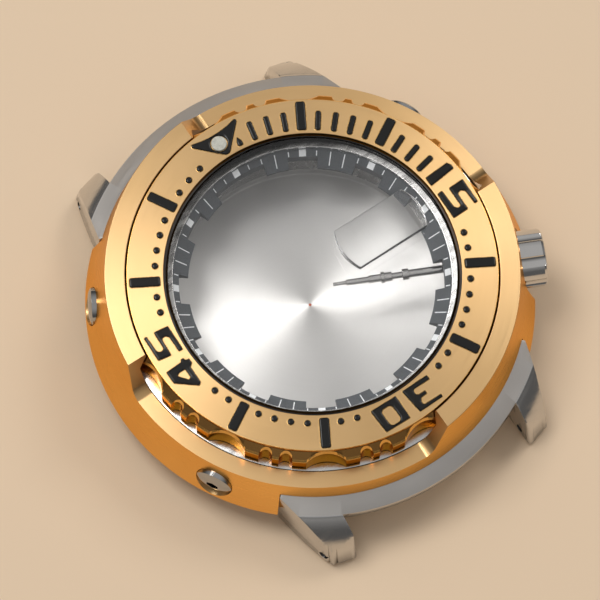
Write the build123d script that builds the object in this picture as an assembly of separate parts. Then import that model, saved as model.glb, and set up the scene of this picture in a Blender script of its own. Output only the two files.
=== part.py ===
from build123d import *
import os
from math import cos, radians, sin, sqrt, tan

os.makedirs("parts", exist_ok=True)

# Empty diver's watch case, millimetres and degrees.
# Z runs up the case axis from the face of the case back. +Y is 12 o'clock, +X is 3 o'clock.
# A clock angle is counted clockwise from 12 o'clock.
# Radii are stacked outwards from the movement's cavity, heights from the two faces of the case.

# Case as a whole
case_height = 13.0            # case back face to the flat top of the bezel
strap_width = 22.0            # clear gap between a pair of lugs
cavity_radius = 15.0          # room for the movement
overrun = 2.0                 # how far a cutter runs past what it cuts

# Running and seating clearances
running_clearance = 0.08      # radial, between a piece that turns and its seat
seat_clearance = 0.04         # radial, between pieces that are pressed or screwed together
face_gap = 0.05               # between flat faces that meet
bezel_float = 0.15            # bezel underside above the deck
shroud_clearance = 0.12       # shroud bore round the case wall

# Crystal, the ledge that carries it, its gasket and the magnifier
crystal_ledge = 0.36
crystal_ledge_thickness = 0.6
crystal_seat_width = 0.71
crystal_thickness = 2.0
crystal_recess = 0.25
crystal_bevel = 0.2
crystal_gasket_wall = 0.4
crystal_gasket_share = 0.575
magnifier_edge_share = 0.876
magnifier_length_share = 0.635
magnifier_width_share = 0.5
magnifier_thickness = 0.75
magnifier_crown = 0.3
magnifier_end_bulge = 0.65

# Neck of the case, inside the bezel
neck_wall = 1.07
neck_below_bezel_roof = 0.2
bezel_gasket_depth_share = 0.42
bezel_gasket_height = 0.6
bezel_gasket_rise = 0.02
bezel_gasket_below_neck = 0.5

# Bezel
crystal_reveal = 0.25
bezel_wall = 3.42
bezel_height = 3.5
bezel_roof_thickness = 0.8
bezel_lip_height = 0.3
bezel_groove_width = 0.12
bezel_groove_depth = 0.15
bezel_edge = 0.06
bezel_cone_run = 0.95
bezel_cone_height = 0.75
scallop_count = 12
scallop_radius = 3.53
scallop_depth = 0.8
flute_radius = 0.69
flute_spacing_deg = 6.0
flutes_per_group = 2
grip_bevel = 0.16

# Ratchet under the bezel, and its spring
click_count = 120
click_inner_rim = 0.92
click_outer_rim = 0.5
click_width = 0.65
click_steep_share = 0.333
click_depth = 0.35
click_clearance = 0.07
click_tip_clearance = 0.105
spring_thickness = 0.25
spring_below_deck = 0.15
spring_margin = 0.15
spring_groove_margin = 0.12
spring_finger_count = 3

# Raised enamel marks on the bezel, placed by shares of its flat top
mark_height = 0.15
mark_margin = 0.32
bar_outer_margin = 0.25
bar_width = 1.0
tick_width = 0.55
tick_length_share = 0.57
mark_corner_share = 0.33
dot_radius = 0.33
dot_place_share = 0.234
pointer_half_deg = 8.4
pointer_outer_margin = 0.3
pointer_hollow = 0.8
pointer_foot_margin = 0.4
pointer_corner_radius = 0.3
pip_radius = 0.92
pip_place_share = 0.455
pip_rise = 0.1
drop_length = 1.1
drop_width = 0.62

# Wall of the case under the shroud
wall_step = 0.15
wall_straight_height = 0.55
body_spread = 1.25
body_foot_land = 0.3
base_step = 2.2
base_z = 1.15

# Shroud
shroud_lip_reveal = 0.17
shroud_lip_gap = 0.26
shroud_rim_wall = 1.08
shroud_rim_above_deck = 0.2
shroud_top_drop = 0.05
shroud_skirt_wall = 2.08
shroud_top_flare_share = 0.16
shroud_edge_bevel = 0.12
shroud_cutout_half_deg = 45.0
shroud_cutout_slant_deg = 6.0
shroud_cutout_trim_deg = 18.0
shroud_cutout_clocks_deg = (45.0, 225.0)
shroud_skirt_cut_half_deg = 42.4
shroud_skirt_gap = 0.05
shroud_blend_radius = 0.5

# Flange and lugs, where the shroud leaves the steel bare at 12 and 6 o'clock
flange_drop = 1.1
flange_ramp_run = 1.88
flange_ramp_drop = 1.0
flange_edge_height = 1.2
undercut_run = 2.63
undercut_drop = 1.5
undercut_foot_run = 0.4
undercut_foot_rise = 1.55
lug_reach = 3.7
lug_ramp_run = 2.3
lug_ramp_drop = 2.25
lug_ramp_bulge = 0.1
lug_nose_height = 1.35
lug_nose_depth = 0.45
lug_nose_round = 0.12
lug_nose_slope = 0.8
lug_foot_drop = 0.65
lug_heel_run = 1.6
lug_root_deg = 42.25
lug_root_inset = 0.83
lug_side_end_width = 2.71
lug_side_end_inset = 1.5
lug_side_bulge = 0.2
lug_side_draft = 0.88
lug_front_reach = 2.17
lug_front_draft = 1.47
lug_front_radius = 46.7
spring_bar_hole_radius = 0.5
spring_bar_setback = 3.46
spring_bar_rise = 0.85

# Shroud screws
screw_clocks_deg = (60.0, 240.0, 300.0)
screw_drop = 3.1
screw_head_radius = 1.95
screw_head_height = 1.25
screw_head_rise = 0.4
screw_head_bevel = 0.55
screw_dome_share = 0.25
screw_knee_share = 0.333
screw_edge_margin = 0.33
screw_shank_radius = 0.9
screw_shank_length = 3.9
screw_socket_radius = 0.62
screw_socket_depth = 0.6
screw_hole_clearance = 0.12

# Chapter ring
chapter_width = 1.61
chapter_notch_share = 0.59
chapter_drop = 1.35
chapter_plate = 0.4
chapter_notch_half_deg = 6.7
chapter_wide_notch_half_deg = 12.7
hour_count = 12

# Case back
case_back_boss_wall = 1.2
case_back_boss_height = 1.9
case_back_floor = 1.8
case_back_bevel = 0.25
back_gasket_margin = 0.97
back_gasket_section = 0.24
case_back_flange_margin = 0.95
wrench_notch_count = 6
wrench_notch_width = 2.2
wrench_notch_depth = 0.9

# Crown, tube and stem, all on one radial axis
crown_clock_deg = 115.0
crown_drop = 1.95
crown_radius = 3.1
crown_wall = 1.2
crown_length = 4.3
crown_end_wall_share = 0.21
crown_bezel_gap = 0.05
crown_seat_gap = 0.15
crown_bevel = 0.35
crown_groove_count = 7
crown_groove_radius = 0.95
crown_groove_depth = 0.26
crown_recess_clearance = 0.35
tube_reach_share = 0.63
tube_bore_radius = 0.9
tube_wall = 0.35
crown_gasket_groove_depth = 0.45
crown_gasket_height = 0.55
crown_gasket_from_mouth = 0.5
crown_spring_inner_gap = 0.15
crown_spring_outer_gap = 0.4
stem_sleeve_length = 6.2
stem_grip_share = 0.65
stem_tip_share = 0.153

# Winding stem from its tip outwards: shares of its reach in the cavity, shares of the tube's bore
stem_steps = {
    "pilot": (0.11, 0.22),
    "square": (0.189, 0.36),
    "neck": (0.102, 0.47),
    "collar": (0.031, 0.69),
    "shoulder": (0.063, 0.56),
    "groove": (0.087, 0.37),
    "boss": (0.055, 0.67),
}
stem_thread_share = 0.47

# Radii worked out from the sizes above, from the cavity outwards
crystal_seat_radius = cavity_radius - crystal_ledge
crystal_radius = crystal_seat_radius + crystal_seat_width
gasket_bore_radius = crystal_radius + crystal_gasket_wall + 2 * seat_clearance
neck_radius = gasket_bore_radius + neck_wall
bezel_opening_radius = crystal_radius + crystal_reveal
bezel_bore_radius = neck_radius + running_clearance
bezel_grip_radius = bezel_bore_radius + bezel_wall
bezel_top_radius = bezel_grip_radius - bezel_cone_run
bezel_flat_width = bezel_top_radius - bezel_opening_radius
click_inner_radius = bezel_bore_radius + click_inner_rim
click_outer_radius = bezel_grip_radius - scallop_depth - click_outer_rim
spring_inner_radius = click_inner_radius - spring_margin
spring_outer_radius = click_outer_radius + spring_margin
wall_radius = bezel_grip_radius + wall_step
shroud_bore_radius = wall_radius + shroud_clearance
shroud_lip_radius = bezel_top_radius + shroud_lip_reveal
shroud_top_radius = shroud_bore_radius + shroud_rim_wall
body_foot_radius = wall_radius + body_spread
base_radius = body_foot_radius - base_step
shroud_skirt_radius = body_foot_radius + shroud_clearance + shroud_skirt_wall
case_back_thread_radius = cavity_radius + case_back_boss_wall
case_thread_radius = case_back_thread_radius + running_clearance
back_gasket_radius = case_thread_radius + back_gasket_margin
case_back_flange_radius = back_gasket_radius + case_back_flange_margin
chapter_tongue_radius = crystal_seat_radius - chapter_width
chapter_base_radius = chapter_tongue_radius + chapter_notch_share * chapter_width
crown_seat_radius = bezel_grip_radius + crown_bezel_gap
crown_mouth_radius = crown_seat_radius + crown_seat_gap
crown_end_radius = crown_mouth_radius + crown_length
crown_floor_radius = crown_end_radius - crown_end_wall_share * crown_length
tube_end_radius = crown_mouth_radius + tube_reach_share * (crown_floor_radius - crown_mouth_radius)
crown_cavity_radius = crown_radius - crown_wall
tube_thread_radius = crown_cavity_radius - running_clearance
tube_case_radius = tube_bore_radius + tube_wall
stem_tip_radius = stem_tip_share * cavity_radius
stem_thread_radius = stem_thread_share * tube_bore_radius
mark_corner_radius = mark_corner_share * tick_width

# Heights worked out from the sizes above
bezel_bottom_z = case_height - bezel_height
deck_z = bezel_bottom_z - bezel_float
spring_bottom_z = deck_z - spring_below_deck - spring_thickness
rim_z = deck_z + shroud_rim_above_deck
wall_foot_z = deck_z - wall_straight_height
shroud_top_z = case_height - shroud_top_drop
screw_z = deck_z - screw_drop
shroud_skirt_z = screw_z - screw_head_radius - screw_hole_clearance - screw_edge_margin
bezel_roof_z = case_height - bezel_roof_thickness
bezel_cone_top_z = case_height - bezel_lip_height - bezel_groove_width
bezel_cone_foot_z = bezel_cone_top_z - bezel_cone_height
neck_top_z = bezel_roof_z - neck_below_bezel_roof
crystal_top_z = case_height - crystal_recess
crystal_seat_z = crystal_top_z - crystal_thickness
chapter_top_z = crystal_seat_z - crystal_ledge_thickness
flange_step_z = wall_foot_z - flange_drop
flange_crease_z = flange_step_z - flange_ramp_drop
lug_foot_z = base_z - lug_foot_drop
crown_z = deck_z - crown_drop


def shroud_radius_at(height):
    """Outer radius of the shroud's flared wall: a parabola in height."""
    full_drop = shroud_top_z - shroud_skirt_z
    drop = shroud_top_z - height
    spread = shroud_skirt_radius - shroud_top_radius - shroud_top_flare_share * full_drop
    return shroud_top_radius + shroud_top_flare_share * drop + spread * (drop / full_drop) ** 2


# Sizes that follow the shroud's flare
flange_start_radius = shroud_radius_at(flange_step_z)
flange_crease_radius = flange_start_radius + flange_ramp_run
lug_tip_radius = flange_crease_radius + lug_reach
lug_front_y = flange_crease_radius + lug_front_reach
undercut_radius = flange_crease_radius - undercut_run
screw_face_radius = shroud_radius_at(screw_z) + screw_head_rise
screw_seat_radius = screw_face_radius - screw_head_height - face_gap
screw_end_radius = screw_seat_radius - screw_shank_length
spring_bar_y = lug_front_y - spring_bar_setback
spring_bar_z = lug_foot_z + spring_bar_rise


def on_clock(clock_deg, radius):
    """Point of the XY plane at a clock angle and a radius."""
    return (radius * sin(radians(clock_deg)), radius * cos(radians(clock_deg)))


def turned(points, arc_deg=360):
    """Solid turned about Z from an outline of (radius, height) points."""
    outline = Plane.XZ * make_face(Polyline(*points, close=True))
    return revolve(outline, Axis.Z, arc_deg)


def ring(inner, outer, bottom, top):
    """Plain turned ring."""
    return turned([(inner, bottom), (outer, bottom), (outer, top), (inner, top)])


def around(shape, clock_deg):
    """Shape made at 12 o'clock, carried round to a clock angle."""
    return Rot(0, 0, -clock_deg) * shape


def radial_rod(radius, start, end, height):
    """Rod that points outward at 12 o'clock, from one radius of the case to another."""
    rod = Cylinder(radius, end - start, align=(Align.CENTER, Align.CENTER, Align.MIN))
    return Pos(0, start, height) * Rot(-90, 0, 0) * rod


def radial_turned(points, height):
    """Solid turned about a radial axis at 12 o'clock, from (distance out, radius) points."""
    outline = Plane.XY * make_face(Polyline(*[(radius, out) for out, radius in points], close=True))
    return Pos(0, 0, height) * revolve(outline, Axis.Y, 360)


def wedge(half_deg, bottom, top):
    """Wedge of the whole case, centred on 12 o'clock."""
    reach = lug_tip_radius + overrun
    side = reach * tan(radians(half_deg))
    face = make_face(Polyline((0, 0), (side, reach), (-side, reach), close=True))
    return Pos(0, 0, bottom) * extrude(face, top - bottom)


def crown_side(shape):
    """Shape made at 12 o'clock, carried to the crown's axis."""
    return around(shape, crown_clock_deg)


def case_core():
    """Turned body: neck, deck, wall and the bores that take crystal, chapter ring and back."""
    groove_top = neck_top_z - bezel_gasket_below_neck
    groove_bottom = groove_top - face_gap - bezel_gasket_height - face_gap
    groove_floor = neck_radius - bezel_gasket_depth_share * neck_wall
    spring_groove_z = spring_bottom_z - face_gap
    boss_top = base_z + case_back_boss_height + face_gap
    return turned([
        (case_thread_radius, base_z),
        (base_radius, base_z),
        (body_foot_radius, shroud_skirt_z - body_foot_land),
        (body_foot_radius, shroud_skirt_z),
        (wall_radius, wall_foot_z),
        (wall_radius, deck_z),
        (spring_outer_radius + spring_groove_margin, deck_z),
        (spring_outer_radius + spring_groove_margin, spring_groove_z),
        (spring_inner_radius - spring_groove_margin, spring_groove_z),
        (spring_inner_radius - spring_groove_margin, deck_z),
        (neck_radius, deck_z),
        (neck_radius, groove_bottom),
        (groove_floor, groove_bottom),
        (groove_floor, groove_top),
        (neck_radius, groove_top),
        (neck_radius, neck_top_z),
        (gasket_bore_radius, neck_top_z),
        (gasket_bore_radius, crystal_seat_z),
        (crystal_seat_radius, crystal_seat_z),
        (crystal_seat_radius, chapter_top_z),
        (cavity_radius, chapter_top_z),
        (cavity_radius, boss_top),
        (case_thread_radius, boss_top),
    ])


def lug_side(hand, draft_share):
    """Bowed outer side of a lug in plan, from its root at the skirt to past its tip."""
    root_x, root_y = on_clock(lug_root_deg, shroud_skirt_radius - lug_root_inset)
    end_x = strap_width / 2 + lug_side_end_width - draft_share * lug_side_draft
    end_y = lug_front_y - lug_side_end_inset
    return SagittaArc((hand * root_x, root_y), (hand * end_x, end_y), -hand * lug_side_bulge)


def lug_plan(draft_share):
    """Outline of both lugs and the flange between them: 0 is the foot, 1 is drawn in at the top."""
    right = lug_side(1, draft_share)
    left = lug_side(-1, draft_share)
    half_base = strap_width / 2
    base_y = sqrt((wall_radius - overrun) ** 2 - half_base ** 2)
    base = Polyline(left @ 0, (-half_base, base_y), (half_base, base_y), right @ 0)
    beyond = Polyline(right @ 1, (half_base, lug_front_y), (-half_base, lug_front_y), left @ 1)
    return make_face(Curve() + [right, beyond, left, base])


def lug_front():
    """Block that ends at the arched front of both lugs: drawn in upwards, with a rounded nose."""
    draft = lug_front_draft / flange_step_z
    nose_start_z = flange_crease_z - lug_ramp_drop - lug_nose_height
    nose_start = lug_front_radius - draft * nose_start_z
    nose_end = nose_start - lug_nose_depth
    nose_end_z = nose_start_z + lug_nose_height
    nose_mid = ((nose_start + nose_end) / 2 + lug_nose_round, (nose_start_z + nose_end_z) / 2 + lug_nose_round)
    top = nose_end - lug_nose_slope * (case_height - nose_end_z)
    outline = Curve() + [
        Polyline((0, 0), (lug_front_radius, 0), (nose_start, nose_start_z)),
        ThreePointArc((nose_start, nose_start_z), nose_mid, (nose_end, nose_end_z)),
        Polyline((nose_end, nose_end_z), (top, case_height), (0, case_height), (0, 0)),
    ]
    return Pos(0, lug_front_y - lug_front_radius, 0) * revolve(Plane.XZ * make_face(outline), Axis.Z, 360)


def flange_turning():
    """Flange between the lugs, with an upright edge and an undercut below it."""
    root = wall_radius - overrun
    return turned([
        (root, base_z),
        (base_radius, base_z),
        (base_radius + undercut_foot_run, base_z + undercut_foot_rise),
        (undercut_radius, flange_crease_z - undercut_drop),
        (flange_crease_radius, flange_crease_z - flange_edge_height),
        (flange_crease_radius, flange_crease_z),
        (flange_start_radius, flange_step_z),
        (root, flange_step_z),
    ])


def lug_turning():
    """Full section of a lug: ramp that falls from the crease, level foot."""
    root = wall_radius - overrun
    ramp_end = flange_crease_radius + lug_ramp_run
    ramp_end_z = flange_crease_z - lug_ramp_drop
    ramp_mid = ((flange_crease_radius + ramp_end) / 2 + lug_ramp_bulge,
                (flange_crease_z + ramp_end_z) / 2 + lug_ramp_bulge)
    outline = Curve() + [
        Polyline((root, base_z), (base_radius, base_z), (base_radius + lug_heel_run, lug_foot_z),
                 (lug_tip_radius, lug_foot_z), (lug_tip_radius, ramp_end_z), (ramp_end, ramp_end_z)),
        ThreePointArc((ramp_end, ramp_end_z), ramp_mid, (flange_crease_radius, flange_crease_z)),
        Polyline((flange_crease_radius, flange_crease_z), (flange_start_radius, flange_step_z),
                 (root, flange_step_z), (root, base_z)),
    ]
    return revolve(Plane.XZ * make_face(outline), Axis.Z, 360)


def lug_end():
    """Flange and both lugs of the 12 o'clock end, with their spring bar holes."""
    plan = loft([lug_plan(0), Pos(0, 0, flange_step_z) * lug_plan(1)], ruled=True)
    gap_depth = 2 * lug_tip_radius
    gap = Box(strap_width, gap_depth, 2 * case_height)
    strap_gap = Pos(0, wall_radius - overrun + gap_depth / 2, 0) * gap
    lugs = (lug_turning() & plan & lug_front()) - strap_gap
    bar_hole = Rot(0, 90, 0) * Cylinder(spring_bar_hole_radius, 2 * lug_tip_radius)
    return ((flange_turning() & plan) + lugs) - Pos(0, spring_bar_y, spring_bar_z) * bar_hole


def mid_case():
    body = case_core()
    end = lug_end()
    body += end + around(end, 180)
    body -= ring(cavity_radius / 2, cavity_radius, base_z, chapter_top_z)
    boss_top = base_z + case_back_boss_height + face_gap
    body -= ring(cavity_radius / 2, case_thread_radius, base_z - overrun, boss_top)
    gasket_reach = back_gasket_section + face_gap
    body -= ring(back_gasket_radius - gasket_reach, back_gasket_radius + gasket_reach,
                 base_z - overrun, base_z + 2 * back_gasket_section + face_gap)
    recess_radius = crown_radius + crown_recess_clearance
    body -= crown_side(radial_rod(recess_radius, crown_seat_radius, lug_tip_radius, crown_z))
    tube_bore = tube_case_radius + seat_clearance
    body -= crown_side(radial_rod(tube_bore, cavity_radius - overrun, crown_end_radius, crown_z))
    thread = screw_shank_radius + seat_clearance
    for clock_deg in screw_clocks_deg:
        bore = radial_rod(thread, screw_end_radius - face_gap, crown_end_radius, screw_z)
        body -= around(bore, clock_deg)
    return body


def shroud_turning():
    """Full turned shroud before the openings are cut: flared wall, lip over the bezel's cone."""
    full_drop = shroud_top_z - shroud_skirt_z
    cone_slope = bezel_cone_height / bezel_cone_run
    bore = shroud_bore_radius
    skirt_bore = body_foot_radius + shroud_clearance
    lip_z = bezel_cone_top_z + shroud_lip_gap - cone_slope * (shroud_lip_radius - bezel_top_radius)
    lip_foot_z = bezel_cone_top_z + shroud_lip_gap - cone_slope * (bore - bezel_top_radius)
    bevel = shroud_edge_bevel
    start = (shroud_top_radius + shroud_top_flare_share * bevel, shroud_top_z - bevel)
    pull = (shroud_top_radius + shroud_top_flare_share * full_drop / 2,
            shroud_top_z - full_drop / 2)
    foot = (shroud_skirt_radius, shroud_skirt_z)
    outline = Curve() + [
        Bezier(start, pull, foot),
        Polyline(foot, (skirt_bore, shroud_skirt_z), (bore, wall_foot_z), (bore, lip_foot_z),
                 (shroud_lip_radius, lip_z), (shroud_lip_radius, shroud_top_z - bevel),
                 (shroud_lip_radius + bevel, shroud_top_z), (shroud_top_radius - bevel, shroud_top_z),
                 start),
    ]
    return revolve(Plane.XZ * make_face(outline), Axis.Z, 360)


def cutout_half_space(side):
    """Block beyond one slanted end wall of a cut-out; side is 1 or -1."""
    low_angle = side * shroud_cutout_half_deg
    high_angle = side * (shroud_cutout_half_deg + shroud_cutout_slant_deg)
    near = Vector(*on_clock(low_angle, shroud_lip_radius), rim_z)
    far = Vector(*on_clock(low_angle, shroud_skirt_radius), rim_z)
    high = Vector(*on_clock(high_angle, (shroud_lip_radius + shroud_top_radius) / 2), shroud_top_z)
    along = far - near
    normal = along.cross(high - near) * side
    reach = 4 * shroud_skirt_radius
    block = Box(reach, reach, reach, align=(Align.CENTER, Align.CENTER, Align.MIN))
    return Plane(origin=near, x_dir=along, z_dir=normal) * block


def shroud_cutout():
    """Cutter of one finger opening at 12 o'clock: flat floor at the rim, slanted ends."""
    block = wedge(shroud_cutout_half_deg + shroud_cutout_trim_deg, rim_z, case_height + overrun)
    block -= cutout_half_space(1)
    block -= cutout_half_space(-1)
    block -= Pos(0, 0, case_height) * Cylinder(neck_radius, 2 * case_height)
    floor_lines = block.edges().group_by(Axis.Z)[0].filter_by(GeomType.LINE)
    return fillet(floor_lines.filter_by(Axis.X, reverse=True), shroud_blend_radius)


def shroud():
    body = shroud_turning()
    for clock_deg in shroud_cutout_clocks_deg:
        body -= around(shroud_cutout(), clock_deg)
    skirt_cut = wedge(shroud_skirt_cut_half_deg, shroud_skirt_z - overrun,
                      flange_step_z + shroud_skirt_gap)
    for clock_deg in (0, 180):
        body -= around(skirt_cut, clock_deg)
    recess = crown_radius + crown_recess_clearance
    slot = radial_rod(recess, neck_radius, lug_tip_radius, crown_z)
    slot_depth = crown_z - shroud_skirt_z + overrun
    slot += Pos(0, crown_seat_radius, crown_z - slot_depth / 2) * Box(2 * recess, lug_tip_radius, slot_depth)
    slot &= Pos(0, lug_tip_radius, 0) * Box(4 * recess, 2 * (lug_tip_radius - neck_radius), 2 * case_height)
    body -= crown_side(slot)
    for clock_deg in screw_clocks_deg:
        hole = radial_rod(screw_shank_radius + screw_hole_clearance, neck_radius,
                          lug_tip_radius, screw_z)
        head = radial_rod(screw_head_radius + screw_hole_clearance, screw_seat_radius,
                          lug_tip_radius, screw_z)
        body -= around(hole + head, clock_deg)
    return body


def shroud_screw():
    """Low domed screw with a hexagon socket, made at 12 o'clock."""
    out = screw_face_radius
    seat = screw_seat_radius + face_gap
    face = screw_head_radius - screw_head_bevel
    screw = radial_turned([
        (screw_end_radius, 0), (screw_end_radius, screw_shank_radius), (seat, screw_shank_radius),
        (seat, screw_head_radius), (out - screw_head_bevel, screw_head_radius),
        (out - screw_dome_share * screw_head_bevel, face + screw_knee_share * screw_head_bevel),
        (out, face), (out, 0),
    ], screw_z)
    socket = extrude(RegularPolygon(screw_socket_radius, 6), screw_socket_depth + overrun)
    return screw - Pos(0, out - screw_socket_depth, screw_z) * Rot(-90, 0, 0) * socket


def shroud_screws():
    return Compound([around(shroud_screw(), clock_deg) for clock_deg in screw_clocks_deg])


def click_notch():
    """Cutter of one ratchet tooth gap, made at 3 o'clock: one steep flank, one long ramp."""
    steep = -click_steep_share * click_width
    end = steep + click_width
    outline = make_face(Polyline((steep, -overrun), (steep, click_depth), (end, 0), (end, -overrun),
                                 close=True))
    return Plane.YZ.offset(click_inner_radius) * extrude(outline, click_outer_radius - click_inner_radius)


def bezel_turning():
    top_edge = bezel_edge
    return turned([
        (bezel_opening_radius + top_edge, case_height),
        (bezel_top_radius - top_edge, case_height),
        (bezel_top_radius, case_height - top_edge),
        (bezel_top_radius, case_height - bezel_lip_height),
        (bezel_top_radius - bezel_groove_depth, case_height - bezel_lip_height),
        (bezel_top_radius - bezel_groove_depth, bezel_cone_top_z),
        (bezel_top_radius, bezel_cone_top_z),
        (bezel_grip_radius, bezel_cone_foot_z),
        (bezel_grip_radius, bezel_bottom_z),
        (bezel_bore_radius, bezel_bottom_z),
        (bezel_bore_radius, bezel_roof_z),
        (bezel_opening_radius, bezel_roof_z),
        (bezel_opening_radius, case_height - top_edge),
    ])


def bevel_grip(body):
    """Bevels the edge along which scallops, flutes and wall meet the cone."""
    edge_line = []
    for edge in body.edges():
        box = edge.bounding_box()
        above_wall = box.min.Z > bezel_cone_foot_z - face_gap
        below_top = box.max.Z < bezel_cone_top_z - face_gap
        if above_wall and below_top:
            edge_line.append(edge)
    return chamfer(edge_line, grip_bevel)


def bezel():
    """Grip ring: twelve thumb scallops, a pair of flutes in each land, a ratchet underneath."""
    body = bezel_turning()
    cutter_height = bezel_cone_top_z - bezel_bottom_z + overrun
    bottom_up = (Align.CENTER, Align.CENTER, Align.MIN)
    scallop = Cylinder(scallop_radius, cutter_height, align=bottom_up)
    flute = Cylinder(flute_radius, cutter_height, align=bottom_up)
    scallop_place = bezel_grip_radius - scallop_depth + scallop_radius
    pitch_deg = 360 / scallop_count
    start_z = bezel_bottom_z - overrun
    cutters = []
    for step in range(scallop_count):
        x, y = on_clock(step * pitch_deg, scallop_place)
        cutters.append(Pos(x, y, start_z) * scallop)
        for turn in range(flutes_per_group):
            offset_deg = (turn - (flutes_per_group - 1) / 2) * flute_spacing_deg
            x, y = on_clock((step + 0.5) * pitch_deg + offset_deg, bezel_grip_radius)
            cutters.append(Pos(x, y, start_z) * flute)
    body = bevel_grip(body - cutters)
    notch = Pos(0, 0, bezel_bottom_z) * click_notch()
    notches = [Rot(0, 0, step * 360 / click_count) * notch for step in range(click_count)]
    return body - notches


def bezel_click_spring():
    """Flat ring in the deck groove, with raised fingers that sit in the bezel's ratchet."""
    bottom = spring_bottom_z
    body = ring(spring_inner_radius, spring_outer_radius, bottom, bottom + spring_thickness)
    steep = click_clearance - click_steep_share * click_width
    apex = bezel_bottom_z + click_depth - click_tip_clearance
    run = (apex - bottom) * click_width / click_depth
    outline = make_face(Polyline((steep, bottom), (steep, apex), (steep + run, bottom), close=True))
    finger_start = click_inner_radius + click_clearance
    finger_length = click_outer_radius - click_clearance - finger_start
    finger = Plane.YZ.offset(finger_start) * extrude(outline, finger_length)
    for step in range(spring_finger_count):
        body += Rot(0, 0, step * 360 / spring_finger_count) * finger
    return body


def bezel_gasket():
    top = neck_top_z - bezel_gasket_below_neck - face_gap
    inner = neck_radius - bezel_gasket_depth_share * neck_wall + seat_clearance
    return ring(inner, neck_radius + bezel_gasket_rise, top - bezel_gasket_height, top)


def clipped_bar(inner, outer, width):
    """Raised mark with clipped corners, lying on the bezel at 12 o'clock."""
    face = chamfer(Rectangle(width, outer - inner).vertices(), mark_corner_radius)
    return Pos(0, (inner + outer) / 2, case_height) * extrude(face, mark_height)


def pip_place():
    """Radius of the pip's centre."""
    return bezel_opening_radius + pip_place_share * bezel_flat_width


def pointer():
    """Zero mark of the bezel: a triangle with hollow outer edge and a seat for its pip."""
    tip_x, tip_y = on_clock(pointer_half_deg, bezel_top_radius - pointer_outer_margin)
    foot = (0, bezel_opening_radius + pointer_foot_margin)
    hollow = (0, bezel_top_radius - pointer_outer_margin - pointer_hollow)
    outline = Curve() + [
        ThreePointArc((-tip_x, tip_y), hollow, (tip_x, tip_y)),
        Polyline((tip_x, tip_y), foot, (-tip_x, tip_y)),
    ]
    face = make_face(outline)
    face = fillet(face.vertices(), pointer_corner_radius)
    seat = Pos(0, pip_place(), 0) * Circle(pip_radius + seat_clearance)
    return Pos(0, 0, case_height) * extrude(face - seat, mark_height)


def one_minute_drop():
    """Small mark of minute one, squeezed in beside the pointer."""
    middle = bezel_opening_radius + mark_margin + drop_length / 2
    foot = drop_width / 2
    outline = make_face(Polyline((-foot, -drop_length / 2), (foot, -drop_length / 2),
                                 (foot / 2, drop_length / 2), (-foot / 2, drop_length / 2), close=True))
    outline = fillet(outline.vertices(), drop_width / 5)
    return Pos(0, middle, case_height) * extrude(outline, mark_height)


def bezel_markers():
    """Bars every five minutes, ticks up to minute 13, then dots; numbers take 15, 30 and 45."""
    minute_deg = 360 / 60
    number_minutes = (14, 15, 16, 17, 28, 29, 30, 31, 32, 43, 44, 45, 46, 47)
    marks = [pointer(), around(one_minute_drop(), minute_deg)]
    inner = bezel_opening_radius + mark_margin
    bar = clipped_bar(inner, bezel_top_radius - bar_outer_margin, bar_width)
    tick = clipped_bar(inner, inner + tick_length_share * bezel_flat_width, tick_width)
    dot_place = bezel_opening_radius + dot_place_share * bezel_flat_width
    dot = Pos(0, dot_place, case_height) * extrude(Circle(dot_radius), mark_height)
    for minute in range(2, 59):
        if minute in number_minutes:
            continue
        if minute % 5 == 0:
            mark = bar
        elif minute < 15:
            mark = tick
        else:
            mark = dot
        marks.append(around(mark, minute * minute_deg))
    return Compound(marks)


def lume_pip():
    return Pos(0, pip_place(), case_height) * extrude(Circle(pip_radius), mark_height + pip_rise)


def crystal():
    return turned([
        (0, crystal_seat_z), (crystal_radius, crystal_seat_z),
        (crystal_radius, crystal_top_z - crystal_bevel),
        (crystal_radius - crystal_bevel, crystal_top_z), (0, crystal_top_z),
    ])


def crystal_gasket():
    inner = crystal_radius + seat_clearance
    return ring(inner, inner + crystal_gasket_wall, crystal_seat_z,
                crystal_seat_z + crystal_gasket_share * crystal_thickness)


def magnifier_plan():
    """Window outline with bulged short ends."""
    far = magnifier_edge_share * crystal_radius
    near = far - magnifier_length_share * crystal_radius
    half = magnifier_width_share * (far - near) / 2
    outer = far - magnifier_end_bulge
    inner = near + magnifier_end_bulge
    outline = Curve() + [
        Line((inner, half), (outer, half)),
        ThreePointArc((outer, half), (far, 0), (outer, -half)),
        Line((outer, -half), (inner, -half)),
        ThreePointArc((inner, -half), (near, 0), (inner, half)),
    ]
    face = make_face(outline)
    return fillet(face.vertices(), mark_corner_radius)


def date_magnifier():
    """Lens bonded on the crystal at 3 o'clock, its top a shallow cylinder along the window."""
    plan = magnifier_plan()
    block = Pos(0, 0, crystal_top_z) * extrude(plan, magnifier_thickness + magnifier_crown)
    half = plan.bounding_box().size.Y / 2
    crown_curve = (half ** 2 + magnifier_crown ** 2) / (2 * magnifier_crown)
    axis_z = crystal_top_z + magnifier_thickness + magnifier_crown - crown_curve
    roll = Rot(0, 90, 0) * Cylinder(crown_curve, 2 * crystal_radius)
    return block & Pos(0, 0, axis_z) * Pos(crystal_radius, 0, 0) * roll


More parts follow.
